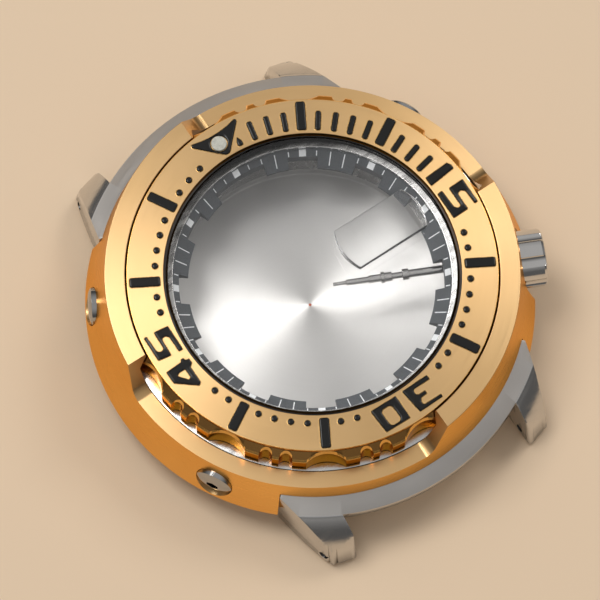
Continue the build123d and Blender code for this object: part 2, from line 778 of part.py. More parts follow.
def chapter_ring():
    """Sloping minute ring with a notch at every hour, wider at 12 o'clock."""
    outer = cavity_radius - seat_clearance
    top = chapter_top_z - face_gap
    base_top = top - chapter_drop * (1 - chapter_notch_share)
    tongue_top = top - chapter_drop
    foot = tongue_top - chapter_plate
    body = turned([
        (outer, foot), (outer, top), (crystal_seat_radius, top), (chapter_base_radius, base_top),
        (chapter_tongue_radius, tongue_top), (chapter_tongue_radius, foot),
    ])
    core = Cylinder(chapter_base_radius, 2 * case_height)
    notch = wedge(chapter_notch_half_deg, 0, case_height) & core
    wide_notch = wedge(chapter_wide_notch_half_deg, 0, case_height) & core
    body -= wide_notch
    for hour in range(1, hour_count):
        body -= around(notch, hour * 360 / hour_count)
    return body


def caseback():
    """Screw-in back: flange with wrench notches, threaded boss, dished inside."""
    flange_top = base_z - face_gap / 2
    boss_top_z = base_z + case_back_boss_height
    body = turned([
        (0, 0), (case_back_flange_radius - case_back_bevel, 0),
        (case_back_flange_radius, case_back_bevel), (case_back_flange_radius, flange_top),
        (case_back_thread_radius, flange_top),
        (case_back_thread_radius, boss_top_z),
        (cavity_radius, boss_top_z), (cavity_radius, case_back_floor),
        (0, case_back_floor),
    ])
    reach = case_back_flange_radius - wrench_notch_depth
    notch = Pos(0, reach + overrun, 0) * Box(wrench_notch_width, 2 * overrun, 2 * base_z)
    notches = [around(notch, step * 360 / wrench_notch_count) for step in range(wrench_notch_count)]
    return body - notches


def caseback_gasket():
    return ring(back_gasket_radius - back_gasket_section, back_gasket_radius + back_gasket_section,
                base_z, base_z + 2 * back_gasket_section)


def crown_tube():
    """Tube pressed through the case wall; its thicker end carries the crown's thread."""
    tube = radial_turned([
        (cavity_radius + face_gap, tube_bore_radius), (tube_end_radius, tube_bore_radius),
        (tube_end_radius, tube_thread_radius), (crown_seat_radius, tube_thread_radius),
        (crown_seat_radius, tube_case_radius), (cavity_radius + face_gap, tube_case_radius),
    ], crown_z)
    return crown_side(tube)


def crown():
    """Fluted cup that screws over the tube, bored through its end wall for the stem sleeve."""
    groove_floor = crown_cavity_radius + crown_gasket_groove_depth
    groove_start = crown_mouth_radius + crown_gasket_from_mouth
    groove_end = groove_start + crown_gasket_height + 2 * face_gap
    cup = radial_turned([
        (crown_mouth_radius, crown_cavity_radius), (crown_mouth_radius, crown_radius - crown_bevel / 2),
        (crown_mouth_radius + crown_bevel / 2, crown_radius),
        (crown_end_radius - crown_bevel, crown_radius),
        (crown_end_radius, crown_radius - crown_bevel), (crown_end_radius, 0),
        (crown_floor_radius, 0), (crown_floor_radius, crown_cavity_radius),
        (groove_end, crown_cavity_radius), (groove_end, groove_floor), (groove_start, groove_floor),
        (groove_start, crown_cavity_radius),
    ], crown_z)
    place = crown_radius - crown_groove_depth + crown_groove_radius
    grooves = []
    for step in range(crown_groove_count):
        angle = radians(90 + step * 360 / crown_groove_count)
        groove = radial_rod(crown_groove_radius, cavity_radius, lug_tip_radius, crown_z)
        grooves.append(Pos(place * cos(angle), 0, place * sin(angle)) * groove)
    return crown_side(cup - grooves)


def crown_gasket():
    start = crown_mouth_radius + crown_gasket_from_mouth + face_gap
    end = start + crown_gasket_height
    inner = tube_thread_radius + running_clearance / 2
    outer = crown_cavity_radius + crown_gasket_groove_depth - running_clearance
    gasket = radial_turned([(start, inner), (end, inner), (end, outer), (start, outer)], crown_z)
    return crown_side(gasket)


def crown_spring():
    """Spring that lifts the unscrewed crown, as the sleeve that its coils fill."""
    start = tube_end_radius + 2 * face_gap
    end = crown_floor_radius - 2 * face_gap
    inner = tube_bore_radius + crown_spring_inner_gap
    outer = crown_cavity_radius - crown_spring_outer_gap
    sleeve = radial_turned([(start, inner), (end, inner), (end, outer), (start, outer)], crown_z)
    return crown_side(sleeve)


def stem_sleeve():
    """Sleeve fixed in the crown that runs in the tube and takes the stem's thread."""
    end = crown_floor_radius - face_gap
    start = end - stem_sleeve_length
    outer = tube_bore_radius - running_clearance
    inner = stem_thread_radius + seat_clearance
    stop = start + stem_grip_share * stem_sleeve_length + face_gap
    sleeve = radial_turned([
        (start, inner), (start, outer), (end, outer), (end, 0), (stop, 0), (stop, inner),
    ], crown_z)
    return crown_side(sleeve)


def winding_stem():
    """Stepped winding stem, from its pilot tip to the thread in the sleeve."""
    reach = cavity_radius - stem_tip_radius
    points = [(stem_tip_radius, 0)]
    out = stem_tip_radius
    for length_share, radius_share in stem_steps.values():
        points.append((out, radius_share * tube_bore_radius))
        out += length_share * reach
        points.append((out, radius_share * tube_bore_radius))
    end = crown_floor_radius - face_gap - (1 - stem_grip_share) * stem_sleeve_length
    points += [(out, stem_thread_radius), (end, stem_thread_radius), (end, 0)]
    return crown_side(radial_turned(points, crown_z))


pieces = {
    "mid_case": mid_case,
    "shroud": shroud,
    "shroud_screws": shroud_screws,
    "bezel": bezel,
    "bezel_click_spring": bezel_click_spring,
    "bezel_gasket": bezel_gasket,
    "bezel_markers": bezel_markers,
    "lume_pip": lume_pip,
    "crystal": crystal,
    "crystal_gasket": crystal_gasket,
    "date_magnifier": date_magnifier,
    "chapter_ring": chapter_ring,
    "caseback": caseback,
    "caseback_gasket": caseback_gasket,
    "crown_tube": crown_tube,
    "crown": crown,
    "crown_gasket": crown_gasket,
    "crown_spring": crown_spring,
    "stem_sleeve": stem_sleeve,
    "winding_stem": winding_stem,
}

for name, make in pieces.items():
    export_step(make(), f"parts/{name}.step")
    print("wrote", name)
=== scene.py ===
import bpy
import bmesh
import math
from contextlib import contextmanager
from mathutils import Matrix, Vector


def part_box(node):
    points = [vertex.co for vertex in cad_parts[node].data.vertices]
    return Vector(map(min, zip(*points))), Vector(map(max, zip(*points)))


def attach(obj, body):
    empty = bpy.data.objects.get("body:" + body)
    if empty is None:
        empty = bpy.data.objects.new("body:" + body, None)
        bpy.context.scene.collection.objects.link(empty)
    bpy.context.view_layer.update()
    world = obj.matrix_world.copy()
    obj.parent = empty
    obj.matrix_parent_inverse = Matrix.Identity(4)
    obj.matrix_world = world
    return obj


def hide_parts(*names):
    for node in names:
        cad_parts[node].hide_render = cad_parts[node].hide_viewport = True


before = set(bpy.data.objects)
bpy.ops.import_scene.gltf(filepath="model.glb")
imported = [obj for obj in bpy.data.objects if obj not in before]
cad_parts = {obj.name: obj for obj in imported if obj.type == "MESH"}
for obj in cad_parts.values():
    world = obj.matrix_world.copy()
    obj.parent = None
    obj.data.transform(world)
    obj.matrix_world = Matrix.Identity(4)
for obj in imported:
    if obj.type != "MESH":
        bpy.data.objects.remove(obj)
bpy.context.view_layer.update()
print("frame loaded:", len(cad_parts), "nodes")

# Lengths below are millimetres and are made metres by mm when a mesh is written.
# Clock angles run clockwise from 12 o'clock (+Y); z runs up from the face of the case back.
mm = 0.001
onAxis = 1e-6  # a radius below this is the axis itself
nearby = 0.01  # how far a face's centre may lie from a level and still count as on it


def high(node):
    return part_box(node)[1][2] / mm


def low(node):
    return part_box(node)[0][2] / mm


def onClock(deg, radius):
    a = math.radians(deg)
    return radius * math.sin(a), radius * math.cos(a)


def linked(name, data):
    obj = bpy.data.objects.new(name, data)
    bpy.context.scene.collection.objects.link(obj)
    return obj


def aimed(place, aim):
    # stands at a place and looks at the aim
    return Matrix.Translation(place) @ (aim - place).to_track_quat("-Z", "Y").to_matrix().to_4x4()


# Camera, solved from the round edges of bezel, crystal and shroud
cameraView = {
    "place": (-89.05, -111.44, 418.55), "aim": (-1.33, 0.11, 6.0), "rollDeg": 4.34,
    "lens": 247.1, "sensor": 36.0, "clipStart": 0.01,
}


def makeCamera(v):
    data = bpy.data.cameras.new("camera")
    data.lens = v["lens"]
    data.sensor_width = v["sensor"]
    data.clip_start = v["clipStart"]
    cam = linked("camera", data)
    roll = Matrix.Rotation(math.radians(v["rollDeg"]), 4, "Z")
    cam.matrix_world = aimed(Vector(v["place"]) * mm, Vector(v["aim"]) * mm) @ roll
    bpy.context.scene.camera = cam


makeCamera(cameraView)
bpy.context.scene.view_settings.view_transform = "Standard"


# Mesh helpers
@contextmanager
def opened(obj):
    # the mesh as a bmesh, written back when the block ends
    bm = bmesh.new()
    bm.from_mesh(obj.data)
    yield bm
    bm.to_mesh(obj.data)
    bm.free()


def newPiece(name, verts, faces, materials=()):
    mesh = bpy.data.meshes.new(name)
    mesh.from_pydata([(x * mm, y * mm, z * mm) for x, y, z in verts], [], faces)
    for m in materials:
        mesh.materials.append(m)
    return linked(name, mesh)


def tidyMesh(obj, merge=0.0005, sliver=0.2):
    with opened(obj) as bm:
        bmesh.ops.remove_doubles(bm, verts=bm.verts, dist=merge * mm)
        bmesh.ops.dissolve_degenerate(bm, edges=bm.edges, dist=merge * mm * sliver)
        bmesh.ops.recalc_face_normals(bm, faces=bm.faces)


def evaluatedMesh(obj):
    return bpy.data.meshes.new_from_object(obj.evaluated_get(bpy.context.evaluated_depsgraph_get()))


def bake(obj):
    # turns the modifiers' result into the object's own plain mesh
    result = evaluatedMesh(obj)
    obj.modifiers.clear()
    obj.data = result


def smoothShade(obj, angle=28, flats=True, weight=80):
    # soft below the angle; flats keeps flat faces flat right up to their rounded edges
    obj.data.shade_smooth()
    obj.data.set_sharp_from_angle(angle=math.radians(angle))
    if not flats:
        return
    obj.data.transform(Matrix.Scale(1 / mm, 4))  # the modifier takes no notice of faces this small in metres
    mod = obj.modifiers.new("normals", "WEIGHTED_NORMAL")
    mod.keep_sharp = True
    mod.weight = weight
    bake(obj)
    obj.data.transform(Matrix.Scale(mm, 4))


def drop(*objs):
    for o in objs:
        bpy.data.objects.remove(o)


def swing(centre, arm, t):
    # end of an arm that starts at the centre, once it is turned by t
    x, y = centre
    return x + arm.x * math.cos(t) - arm.y * math.sin(t), y + arm.x * math.sin(t) + arm.y * math.cos(t)


def rounded(points, radius, steps=4, closed=True, straight=0.02, sideShare=0.48):
    # outline with its corners turned into arcs; a point may carry its own radius as a third value
    out = []
    n = len(points)
    for i, p in enumerate(points):
        own = p[2] if len(p) > 2 else radius
        here = Vector(p[:2])
        if own <= 0 or (not closed and i in (0, n - 1)):
            out.append(tuple(here))
            continue
        back = Vector(points[i - 1][:2]) - here
        ahead = Vector(points[(i + 1) % n][:2]) - here
        half = back.angle(ahead) / 2
        if half > math.pi / 2 - straight:
            out.append(tuple(here))
            continue
        cut = min(own / math.tan(half), back.length * sideShare, ahead.length * sideShare)
        r = cut * math.tan(half)
        centre = here + (back.normalized() + ahead.normalized()).normalized() * (r / math.sin(half))
        a = here + back.normalized() * cut - centre
        b = here + ahead.normalized() * cut - centre
        sweep = a.angle_signed(b)
        out += [swing(centre, a, -sweep * k / steps) for k in range(steps + 1)]
    return out


def arcThrough(a, m, b, steps):
    # points on the arc from a to b through m, ends included
    ax, ay = a
    mx, my = m
    bx, by = b
    d = 2 * (ax * (my - by) + mx * (by - ay) + bx * (ay - my))
    ux = ((ax * ax + ay * ay) * (my - by) + (mx * mx + my * my) * (by - ay) + (bx * bx + by * by) * (ay - my)) / d
    uy = ((ax * ax + ay * ay) * (bx - mx) + (mx * mx + my * my) * (ax - bx) + (bx * bx + by * by) * (mx - ax)) / d
    start = Vector((ax - ux, ay - uy))
    through = Vector((mx - ux, my - uy))
    sweep = -start.angle_signed(through) - through.angle_signed(Vector((bx - ux, by - uy)))
    return [swing((ux, uy), start, sweep * k / steps) for k in range(steps + 1)]


def lathe(name, profile, materials=(), segments=360, closed=True):
    # turned about Z from an outline of (radius, z); an outline that starts and ends on the axis is open
    verts = []
    rings = []
    for r, z in profile:
        if r < onAxis:
            rings.append([len(verts)] * segments)
            verts.append((0, 0, z))
            continue
        rings.append(range(len(verts), len(verts) + segments))
        for k in range(segments):
            x, y = onClock(k * 360 / segments, r)
            verts.append((x, y, z))
    faces = []
    last = len(profile) if closed else len(profile) - 1
    for i in range(last):
        a = rings[i]
        b = rings[(i + 1) % len(profile)]
        for k in range(segments):
            m = (k + 1) % segments
            corners = [a[k], a[m], b[m], b[k]]
            loop = [c for j, c in enumerate(corners) if c not in corners[:j]]
            if len(loop) > 2:
                faces.append(loop)
    obj = newPiece(name, verts, faces, materials)
    with opened(obj) as bm:
        bmesh.ops.recalc_face_normals(bm, faces=bm.faces)
    return obj


def prism(name, outline, bottom, top, upper=None):
    # upright block between two levels; upper is its outline at the top, where that is another one
    n = len(outline)
    verts = [(x, y, bottom) for x, y in outline] + [(x, y, top) for x, y in upper or outline]
    faces = [list(range(n))[::-1], list(range(n, 2 * n))]
    faces += [[i, (i + 1) % n, n + (i + 1) % n, n + i] for i in range(n)]
    obj = newPiece(name, verts, faces)
    tidyMesh(obj)
    return obj


def slab(name, half, inner, outer, bottom, top, deg):
    # block of even width that points to a clock angle
    obj = prism(name, [(-half, inner), (half, inner), (half, outer), (-half, outer)], bottom, top)
    turnTo(obj, deg)
    return obj


def turnTo(obj, deg):
    # turns a shape modelled at 12 o'clock to its clock angle
    obj.data.transform(Matrix.Rotation(math.radians(-deg), 4, "Z"))


def shift(obj, x=0.0, y=0.0, z=0.0):
    obj.data.transform(Matrix.Translation((x * mm, y * mm, z * mm)))


def pointOut(obj, height, deg):
    # lays a piece modelled up the Z axis along a radius of the case
    lay = Matrix.Rotation(math.radians(-90), 4, "X")
    turn = Matrix.Rotation(math.radians(-deg), 4, "Z")
    obj.data.transform(Matrix.Translation((0, 0, height * mm)) @ turn @ lay)


def radialRod(name, radius, start, end, height, deg, sides=96):
    # rod that points outwards from the case axis at a clock angle
    rod = prism(name, [onClock(k * 360 / sides, radius) for k in range(sides)], start, end)
    pointOut(rod, height, deg)
    return rod


def carve(target, operation, *tools):
    for tool in tools:
        mod = target.modifiers.new("carve", "BOOLEAN")
        mod.operation = operation
        mod.solver = "EXACT"
        mod.object = tool
    bake(target)
    drop(*tools)


def breakEdges(obj, width, angle=32, segments=2):
    mod = obj.modifiers.new("edges", "BEVEL")
    mod.limit_method = "ANGLE"
    mod.angle_limit = math.radians(angle)
    mod.width = width * mm
    mod.segments = segments
    mod.miter_outer = "MITER_ARC"
    mod.use_clamp_overlap = True
    bake(obj)


def paintFaces(obj, materials, rule):
    # rule(centre in mm, normal) gives a face's place in the list of materials
    obj.data.materials.clear()
    for m in materials:
        obj.data.materials.append(m)
    for f in obj.data.polygons:
        f.material_index = rule(f.center / mm, f.normal)


def markPoints(obj, label, values):
    obj.data.attributes.new(label, "FLOAT", "POINT").data.foreach_set("value", values)


def raised(name, outlines, z, height, edge, material, soft=40):
    # low relief with rounded upper edges, from closed outlines; an inner outline is a hole
    curve = bpy.data.curves.new(name, "CURVE")
    curve.dimensions = "2D"
    curve.fill_mode = "BOTH"
    curve.extrude = height * mm
    curve.bevel_depth = edge * mm
    curve.bevel_resolution = 3
    curve.offset = -edge * mm
    for outline in outlines:
        spline = curve.splines.new("POLY")
        spline.points.add(len(outline) - 1)
        for p, (x, y) in zip(spline.points, outline):
            p.co = (x * mm, y * mm, 0, 1)
        spline.use_cyclic_u = True
    drawn = linked(name, curve)
    mesh = evaluatedMesh(drawn)
    drop(drawn)
    obj = linked(name, mesh)
    mesh.materials.clear()
    mesh.materials.append(material)
    mesh.transform(Matrix.Translation(Vector((0, 0, z)) * mm))
    tidyMesh(obj)
    smoothShade(obj, angle=soft)
    return obj


def widen(obj, amount, upright=0.3):
    # pushes a low relief's outline out along its normals in plan
    with opened(obj) as bm:
        bm.normal_update()
        for v in bm.verts:
            flat = Vector((v.normal.x, v.normal.y, 0))
            if flat.length > upright:
                v.co += flat.normalized() * amount * mm
    return obj


def join(name, objs):
    first = objs[0]
    bpy.ops.object.select_all(action="DESELECT")
    for o in objs:
        o.select_set(True)
    bpy.context.view_layer.objects.active = first
    bpy.ops.object.join()
    first.name = name
    first.data.name = name
    return first


def seat(obj, body, slotName, *nodes):
    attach(obj, body)
    if nodes:
        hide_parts(*nodes)


# Node helpers, for geometry trees and materials alike
class Nodes:
    def __init__(self, tree):
        self.tree = tree

    def add(self, kind, **settings):
        node = self.tree.nodes.new(kind)
        for key, value in settings.items():
            setattr(node, key, value)
        return node

    def put(self, value, socket):
        if isinstance(value, bpy.types.NodeSocket):
            self.tree.links.new(value, socket)
        elif value is not None:
            socket.default_value = value

    def math(self, operation, a, b=None, c=None):
        node = self.add("ShaderNodeMath", operation=operation)
        for value, socket in zip((a, b, c), node.inputs):
            self.put(value, socket)
        return node.outputs[0]

    def plus(self, a, b):
        return self.math("ADD", a, b)

    def less(self, a, b):
        return self.math("SUBTRACT", a, b)

    def times(self, a, b):
        return self.math("MULTIPLY", a, b)

    def radius(self, x, y):
        return self.math("SQRT", self.plus(self.times(x, x), self.times(y, y)))

    def split(self, vector):
        node = self.add("ShaderNodeSeparateXYZ")
        self.put(vector, node.inputs[0])
        return node.outputs

    def combine(self, x=None, y=None, z=None):
        node = self.add("ShaderNodeCombineXYZ")
        for value, socket in zip((x, y, z), node.inputs):
            self.put(value, socket)
        return node.outputs[0]


def geometryTree(name, inputs):
    tree = bpy.data.node_groups.new(name, "GeometryNodeTree")
    face = tree.interface
    face.new_socket(name="Geometry", in_out="INPUT", socket_type="NodeSocketGeometry")
    for label, kind in inputs.items():
        face.new_socket(name=label, in_out="INPUT", socket_type="NodeSocket" + kind)
    face.new_socket(name="Geometry", in_out="OUTPUT", socket_type="NodeSocketGeometry")
    n = Nodes(tree)
    return tree, n, n.add("NodeGroupInput").outputs, n.add("NodeGroupOutput").inputs


def runTree(obj, tree, values):
    mod = obj.modifiers.new(tree.name, "NODES")
    mod.node_group = tree
    for item in tree.interface.items_tree:
        if item.in_out == "INPUT" and item.name in values:
            mod[item.identifier] = values[item.name]


def attribute(n, label):
    node = n.add("GeometryNodeInputNamedAttribute", data_type="FLOAT")
    node.inputs[0].default_value = label
    return node.outputs[0]


def finishTree(n, geometry, material, out):
    real = n.add("GeometryNodeRealizeInstances")
    n.put(geometry, real.inputs[0])
    paint = n.add("GeometryNodeSetMaterial")
    n.put(real.outputs[0], paint.inputs["Geometry"])
    n.put(material, paint.inputs["Material"])
    n.put(paint.outputs[0], out[0])


def carouselTree():
    # copies a shape, modelled at 12 o'clock, to every clock angle that the points carry
    tree, n, given, out = geometryTree("carousel", {"Shape": "Object", "Material": "Material"})
    info = n.add("GeometryNodeObjectInfo", transform_space="ORIGINAL")
    n.put(given["Shape"], info.inputs["Object"])
    euler = n.add("FunctionNodeEulerToRotation")
    n.put(n.combine(z=n.times(attribute(n, "clock"), -math.pi / 180)), euler.inputs[0])
    copies = n.add("GeometryNodeInstanceOnPoints")
    n.put(given["Geometry"], copies.inputs["Points"])
    n.put(info.outputs["Geometry"], copies.inputs["Instance"])
    n.put(euler.outputs[0], copies.inputs["Rotation"])
    finishTree(n, copies.outputs[0], given["Material"], out)
    return tree


def grooveTree():
    # sinks upright round grooves into an edge: each vertex that follows the edge is drawn inside the groove's wall
    tree, n, given, out = geometryTree("grooves", {
        "Count": "Int", "Groove Radius": "Float", "Groove Place": "Float", "Start Deg": "Float",
        "Slope": "Float", "Material": "Material"})
    x, y, z = n.split(n.add("GeometryNodeInputPosition").outputs[0])
    r = n.radius(x, y)
    half = n.times(n.math("DIVIDE", 2 * math.pi, given["Count"]), 0.5)
    away = n.less(n.math("ARCTAN2", x, y), n.times(given["Start Deg"], math.pi / 180))
    local = n.math("WRAP", away, half, n.times(half, -1.0))
    side = n.times(given["Groove Place"], n.math("SINE", local))
    inside = n.less(n.times(given["Groove Radius"], given["Groove Radius"]), n.times(side, side))
    chord = n.math("SQRT", n.math("MAXIMUM", inside, 0.0))
    wall = n.less(n.times(given["Groove Place"], n.math("COSINE", local)), chord)
    kept = n.math("MINIMUM", r, n.less(wall, attribute(n, "inset")))
    cuts = n.times(n.math("GREATER_THAN", inside, 0.0), n.math("GREATER_THAN", attribute(n, "follows"), 0.5))
    newR = n.plus(r, n.times(cuts, n.less(kept, r)))
    scale = n.math("DIVIDE", newR, n.math("MAXIMUM", r, 1e-9))
    rise = n.times(n.times(attribute(n, "rise"), given["Slope"]), n.less(r, newR))
    move = n.add("GeometryNodeSetPosition")
    n.put(given["Geometry"], move.inputs["Geometry"])
    n.put(n.combine(n.times(x, scale), n.times(y, scale), n.plus(z, rise)), move.inputs["Position"])
    finishTree(n, move.outputs[0], given["Material"], out)
    return tree


def ratchetTree():
    # presses saw teeth into the ring of vertices that carry the mark "tooth"
    tree, n, given, out = geometryTree("ratchet", {"Count": "Int", "Depth": "Float", "Material": "Material"})
    x, y, z = n.split(n.add("GeometryNodeInputPosition").outputs[0])
    turns = n.times(n.math("ARCTAN2", x, y), n.math("DIVIDE", given["Count"], 2 * math.pi))
    saw = n.math("FRACT", n.plus(turns, 1000.5))  # far above zero, so that no tooth starts on a sign change
    move = n.add("GeometryNodeSetPosition")
    n.put(given["Geometry"], move.inputs["Geometry"])
    n.put(n.combine(z=n.times(n.times(saw, attribute(n, "tooth")), given["Depth"])), move.inputs["Offset"])
    finishTree(n, move.outputs[0], given["Material"], out)
    return tree


carousel = carouselTree()
grooves = grooveTree()
ratchet = ratchetTree()


def around(name, shape, clocks, material):
    # one mesh with a copy of the shape at every clock angle
    mesh = bpy.data.meshes.new(name)
    mesh.from_pydata([(0, 0, 0)] * len(clocks), [], [])
    obj = linked(name, mesh)
    markPoints(obj, "clock", [float(clock) for clock in clocks])
    runTree(obj, carousel, {"Shape": shape, "Material": material})
    bake(obj)
    drop(shape)
    return obj


# Materials
def finish(name, color, metallic, roughness, more):
    m = bpy.data.materials.new(name)
    m.use_nodes = True
    shader = m.node_tree.nodes["Principled BSDF"]
    shader.inputs["Base Color"].default_value = (*color, 1)
    shader.inputs["Metallic"].default_value = metallic
    shader.inputs["Roughness"].default_value = roughness
    for key, value in more.items():
        shader.inputs[key].default_value = value
    return m, Nodes(m.node_tree), shader


def coordinates(n, scale=(1, 1, 1)):
    where = n.add("ShaderNodeTexCoord").outputs["Object"]
    spread = n.add("ShaderNodeMapping")
    spread.inputs["Scale"].default_value = scale
    n.put(where, spread.inputs["Vector"])
    return spread.outputs[0]


def turningCoordinates(n, across, along):
    # coordinates that are long round the case axis and short across it, with no seam
    x, y, z = n.split(n.add("ShaderNodeTexCoord").outputs["Object"])
    r = n.radius(x, y)
    safe = n.math("MAXIMUM", r, 1e-6)
    turned = [n.times(n.math("DIVIDE", c, safe), along) for c in (x, y)]
    return n.combine(*turned, n.times(n.plus(r, z), across))


def noise(n, vector, scale, detail=3.0, rough=0.55):
    node = n.add("ShaderNodeTexNoise")
    node.inputs["Scale"].default_value = scale
    node.inputs["Detail"].default_value = detail
    node.inputs["Roughness"].default_value = rough
    n.put(vector, node.inputs["Vector"])
    return node.outputs["Fac"]


def mapRange(n, value, toLow, toHigh, fromLow=0.3, fromHigh=0.7):
    node = n.add("ShaderNodeMapRange")
    n.put(value, node.inputs["Value"])
    for key, number in (("From Min", fromLow), ("From Max", fromHigh), ("To Min", toLow), ("To Max", toHigh)):
        node.inputs[key].default_value = number
    return node.outputs[0]


def tint(n, fac, colorA, colorB, shader):
    mix = n.add("ShaderNodeMix", data_type="RGBA")
    n.put(fac, mix.inputs["Factor"])
    mix.inputs["A"].default_value = (*colorA, 1)
    mix.inputs["B"].default_value = (*colorB, 1)
    n.put(mix.outputs["Result"], shader.inputs["Base Color"])


def bump(n, height, strength, shader, distance=0.00002):
    node = n.add("ShaderNodeBump")
    node.inputs["Strength"].default_value = strength
    node.inputs["Distance"].default_value = distance
    n.put(height, node.inputs["Height"])
    n.put(node.outputs[0], shader.inputs["Normal"])


def turnedMetal(name, dark, light, roughness, spread=0.05, across=9000, along=3, strength=0.12,
                anisotropy=0.0, edge=(1, 1, 1)):
    # metal with fine lines that run round the case; edge tints it where it is seen at a flat angle
    m, n, shader = finish(name, light, 1.0, roughness, {"Specular Tint": (*edge, 1)})
    lines = noise(n, turningCoordinates(n, across, along), 1.0, 4.0, 0.6)
    clouds = noise(n, coordinates(n), 90.0, 2.0)
    tint(n, mapRange(n, clouds, 0.0, 1.0), dark, light, shader)
    n.put(mapRange(n, lines, roughness - spread, roughness + spread), shader.inputs["Roughness"])
    bump(n, lines, strength, shader)
    if anisotropy:
        shader.inputs["Anisotropic"].default_value = anisotropy
        shader.inputs["Anisotropic Rotation"].default_value = 0.25  # a glint spreads across the lines
        tangent = n.add("ShaderNodeTangent", direction_type="RADIAL", axis="Z")
        n.put(tangent.outputs[0], shader.inputs["Tangent"])
    return m


def polishedMetal(name, dark, light, roughness=0.08, edge=(1, 1, 1)):
    # mirror finish with faint wipe marks and a slight variation in tone
    m, n, shader = finish(name, light, 1.0, roughness, {"Specular Tint": (*edge, 1)})
    wipes = noise(n, coordinates(n, (1, 6, 2)), 260.0, 4.0)
    clouds = noise(n, coordinates(n), 120.0, 2.0)
    tint(n, mapRange(n, clouds, 0.0, 1.0), dark, light, shader)
    n.put(mapRange(n, wipes, roughness * 0.7, roughness * 1.5), shader.inputs["Roughness"])
    return m


def grainy(name, dark, light, roughness, scale, detail=2.0, rough=0.55, wide=False, relief=0.0,
           depth=0.00002, more={}):
    # lacquer, print, rubber or plastic whose tone follows a fine grain; relief is how far the grain is felt
    m, n, shader = finish(name, light, 0.0, roughness, more)
    grain = noise(n, coordinates(n), scale, detail, rough)
    tint(n, mapRange(n, grain, 0.0, 1.0) if wide else grain, dark, light, shader)
    if relief:
        bump(n, grain, relief, shader, depth)
    return m


def sapphireFinish(name, tone, roughness):
    # clear glass that lets light through to what lies under it
    m, n, shader = finish(name, tone, 0.0, roughness, {"Transmission Weight": 1.0, "IOR": 1.55})
    clear = n.add("ShaderNodeBsdfTransparent")
    mix = n.add("ShaderNodeMixShader")
    path = n.add("ShaderNodeLightPath")
    n.put(path.outputs["Is Shadow Ray"], mix.inputs[0])
    n.put(shader.outputs[0], mix.inputs[1])
    n.put(clear.outputs[0], mix.inputs[2])
    n.put(mix.outputs[0], m.node_tree.nodes["Material Output"].inputs["Surface"])
    return m


gold = {
    "light": (0.745, 0.49, 0.238), "dark": (0.69, 0.443, 0.203),
    "deepLight": (0.95, 0.52, 0.155), "deepDark": (0.87, 0.45, 0.125), "edge": (1.0, 0.76, 0.48),
}
steel = {"light": (0.72, 0.70, 0.68), "dark": (0.62, 0.605, 0.59)}

goldTop = turnedMetal("goldTop", gold["dark"], gold["light"], 0.34, strength=0.10, anisotropy=0.6)
goldWall = turnedMetal("goldWall", gold["deepDark"], gold["deepLight"], 0.30, strength=0.04, edge=gold["edge"])
goldRim = polishedMetal("goldRim", (0.56, 0.34, 0.13), (0.66, 0.42, 0.17), 0.25)
goldEdge = polishedMetal("goldEdge", (0.86, 0.44, 0.10), (0.95, 0.54, 0.16), 0.22)
# a darker copy of the polished gold: painted shade on the bezel's cone and on the walls of scallops and flutes
goldPaintedShade = polishedMetal("goldPaintedShade", (0.42, 0.21, 0.06), (0.52, 0.27, 0.085), 0.16, edge=(1.0, 0.62, 0.32))
steelSatin = turnedMetal("steelSatin", steel["dark"], steel["light"], 0.42, strength=0.05, anisotropy=0.6)
steelDeck = polishedMetal("steelDeck", (0.66, 0.655, 0.65), (0.74, 0.735, 0.73), 0.22)
steelLug = polishedMetal("steelLug", (0.58, 0.565, 0.55), (0.68, 0.665, 0.65), 0.15)
steelPolished = polishedMetal("steelPolished", (0.62, 0.61, 0.60), (0.72, 0.71, 0.70), 0.09)
steelFloor = turnedMetal("steelFloor", (0.46, 0.455, 0.45), (0.53, 0.525, 0.52), 0.46, spread=0.03, across=5000,
                         strength=0.015, anisotropy=0.7)
# lighter polished steel for the thin chamfer at the crease: a painted highlight line, brighter than the steel round it
creaseHighlight = polishedMetal("creaseHighlight", (0.72, 0.72, 0.72), (0.82, 0.82, 0.81), 0.05)
chromeDark = polishedMetal("chromeDark", (0.40, 0.40, 0.40), (0.48, 0.48, 0.475), 0.06)
# a near-black copy of the steel: painted shade inside the spring-bar holes
paintedBoreShade = polishedMetal("paintedBoreShade", (0.05, 0.05, 0.05), (0.09, 0.09, 0.09), 0.3)
# opaque dark metal on the clear crystal's edge: painted shade for the dark ring round the crystal
crystalEdgeShade = polishedMetal("crystalEdgeShade", (0.15, 0.16, 0.18), (0.21, 0.22, 0.24), 0.12)
copperDot = polishedMetal("copperDot", (0.30, 0.06, 0.03), (0.42, 0.10, 0.05), 0.35)

blackEnamel = grainy("blackEnamel", (0.003, 0.003, 0.003), (0.007, 0.0065, 0.006), 0.14, 900.0, 3.0,
                     relief=0.10, depth=0.00003, more={"Specular IOR Level": 0.45})
slateMatt = grainy("slateMatt", (0.034, 0.040, 0.047), (0.062, 0.070, 0.080), 0.55, 6000.0, relief=0.15, depth=0.00001)
whitePrint = grainy("whitePrint", (0.66, 0.68, 0.70), (0.84, 0.86, 0.88), 0.5, 4000.0)
lumePale = grainy("lumePale", (0.44, 0.44, 0.38), (0.74, 0.74, 0.66), 0.35, 2600.0, 4.0, 0.7, wide=True,
                  relief=0.25, more={"Coat Weight": 0.4})
rubberMatt = grainy("rubberMatt", (0.012, 0.012, 0.012), (0.03, 0.03, 0.03), 0.6, 3000.0, 3.0, relief=0.2)
nylonGrey = grainy("nylonGrey", (0.23, 0.23, 0.24), (0.29, 0.29, 0.30), 0.3, 300.0)
sapphireClear = sapphireFinish("sapphireClear", (1, 1, 1), 0.0)
sapphireEdge = sapphireFinish("sapphireEdge", (0.40, 0.41, 0.43), 0.25)
print("finishes ready")


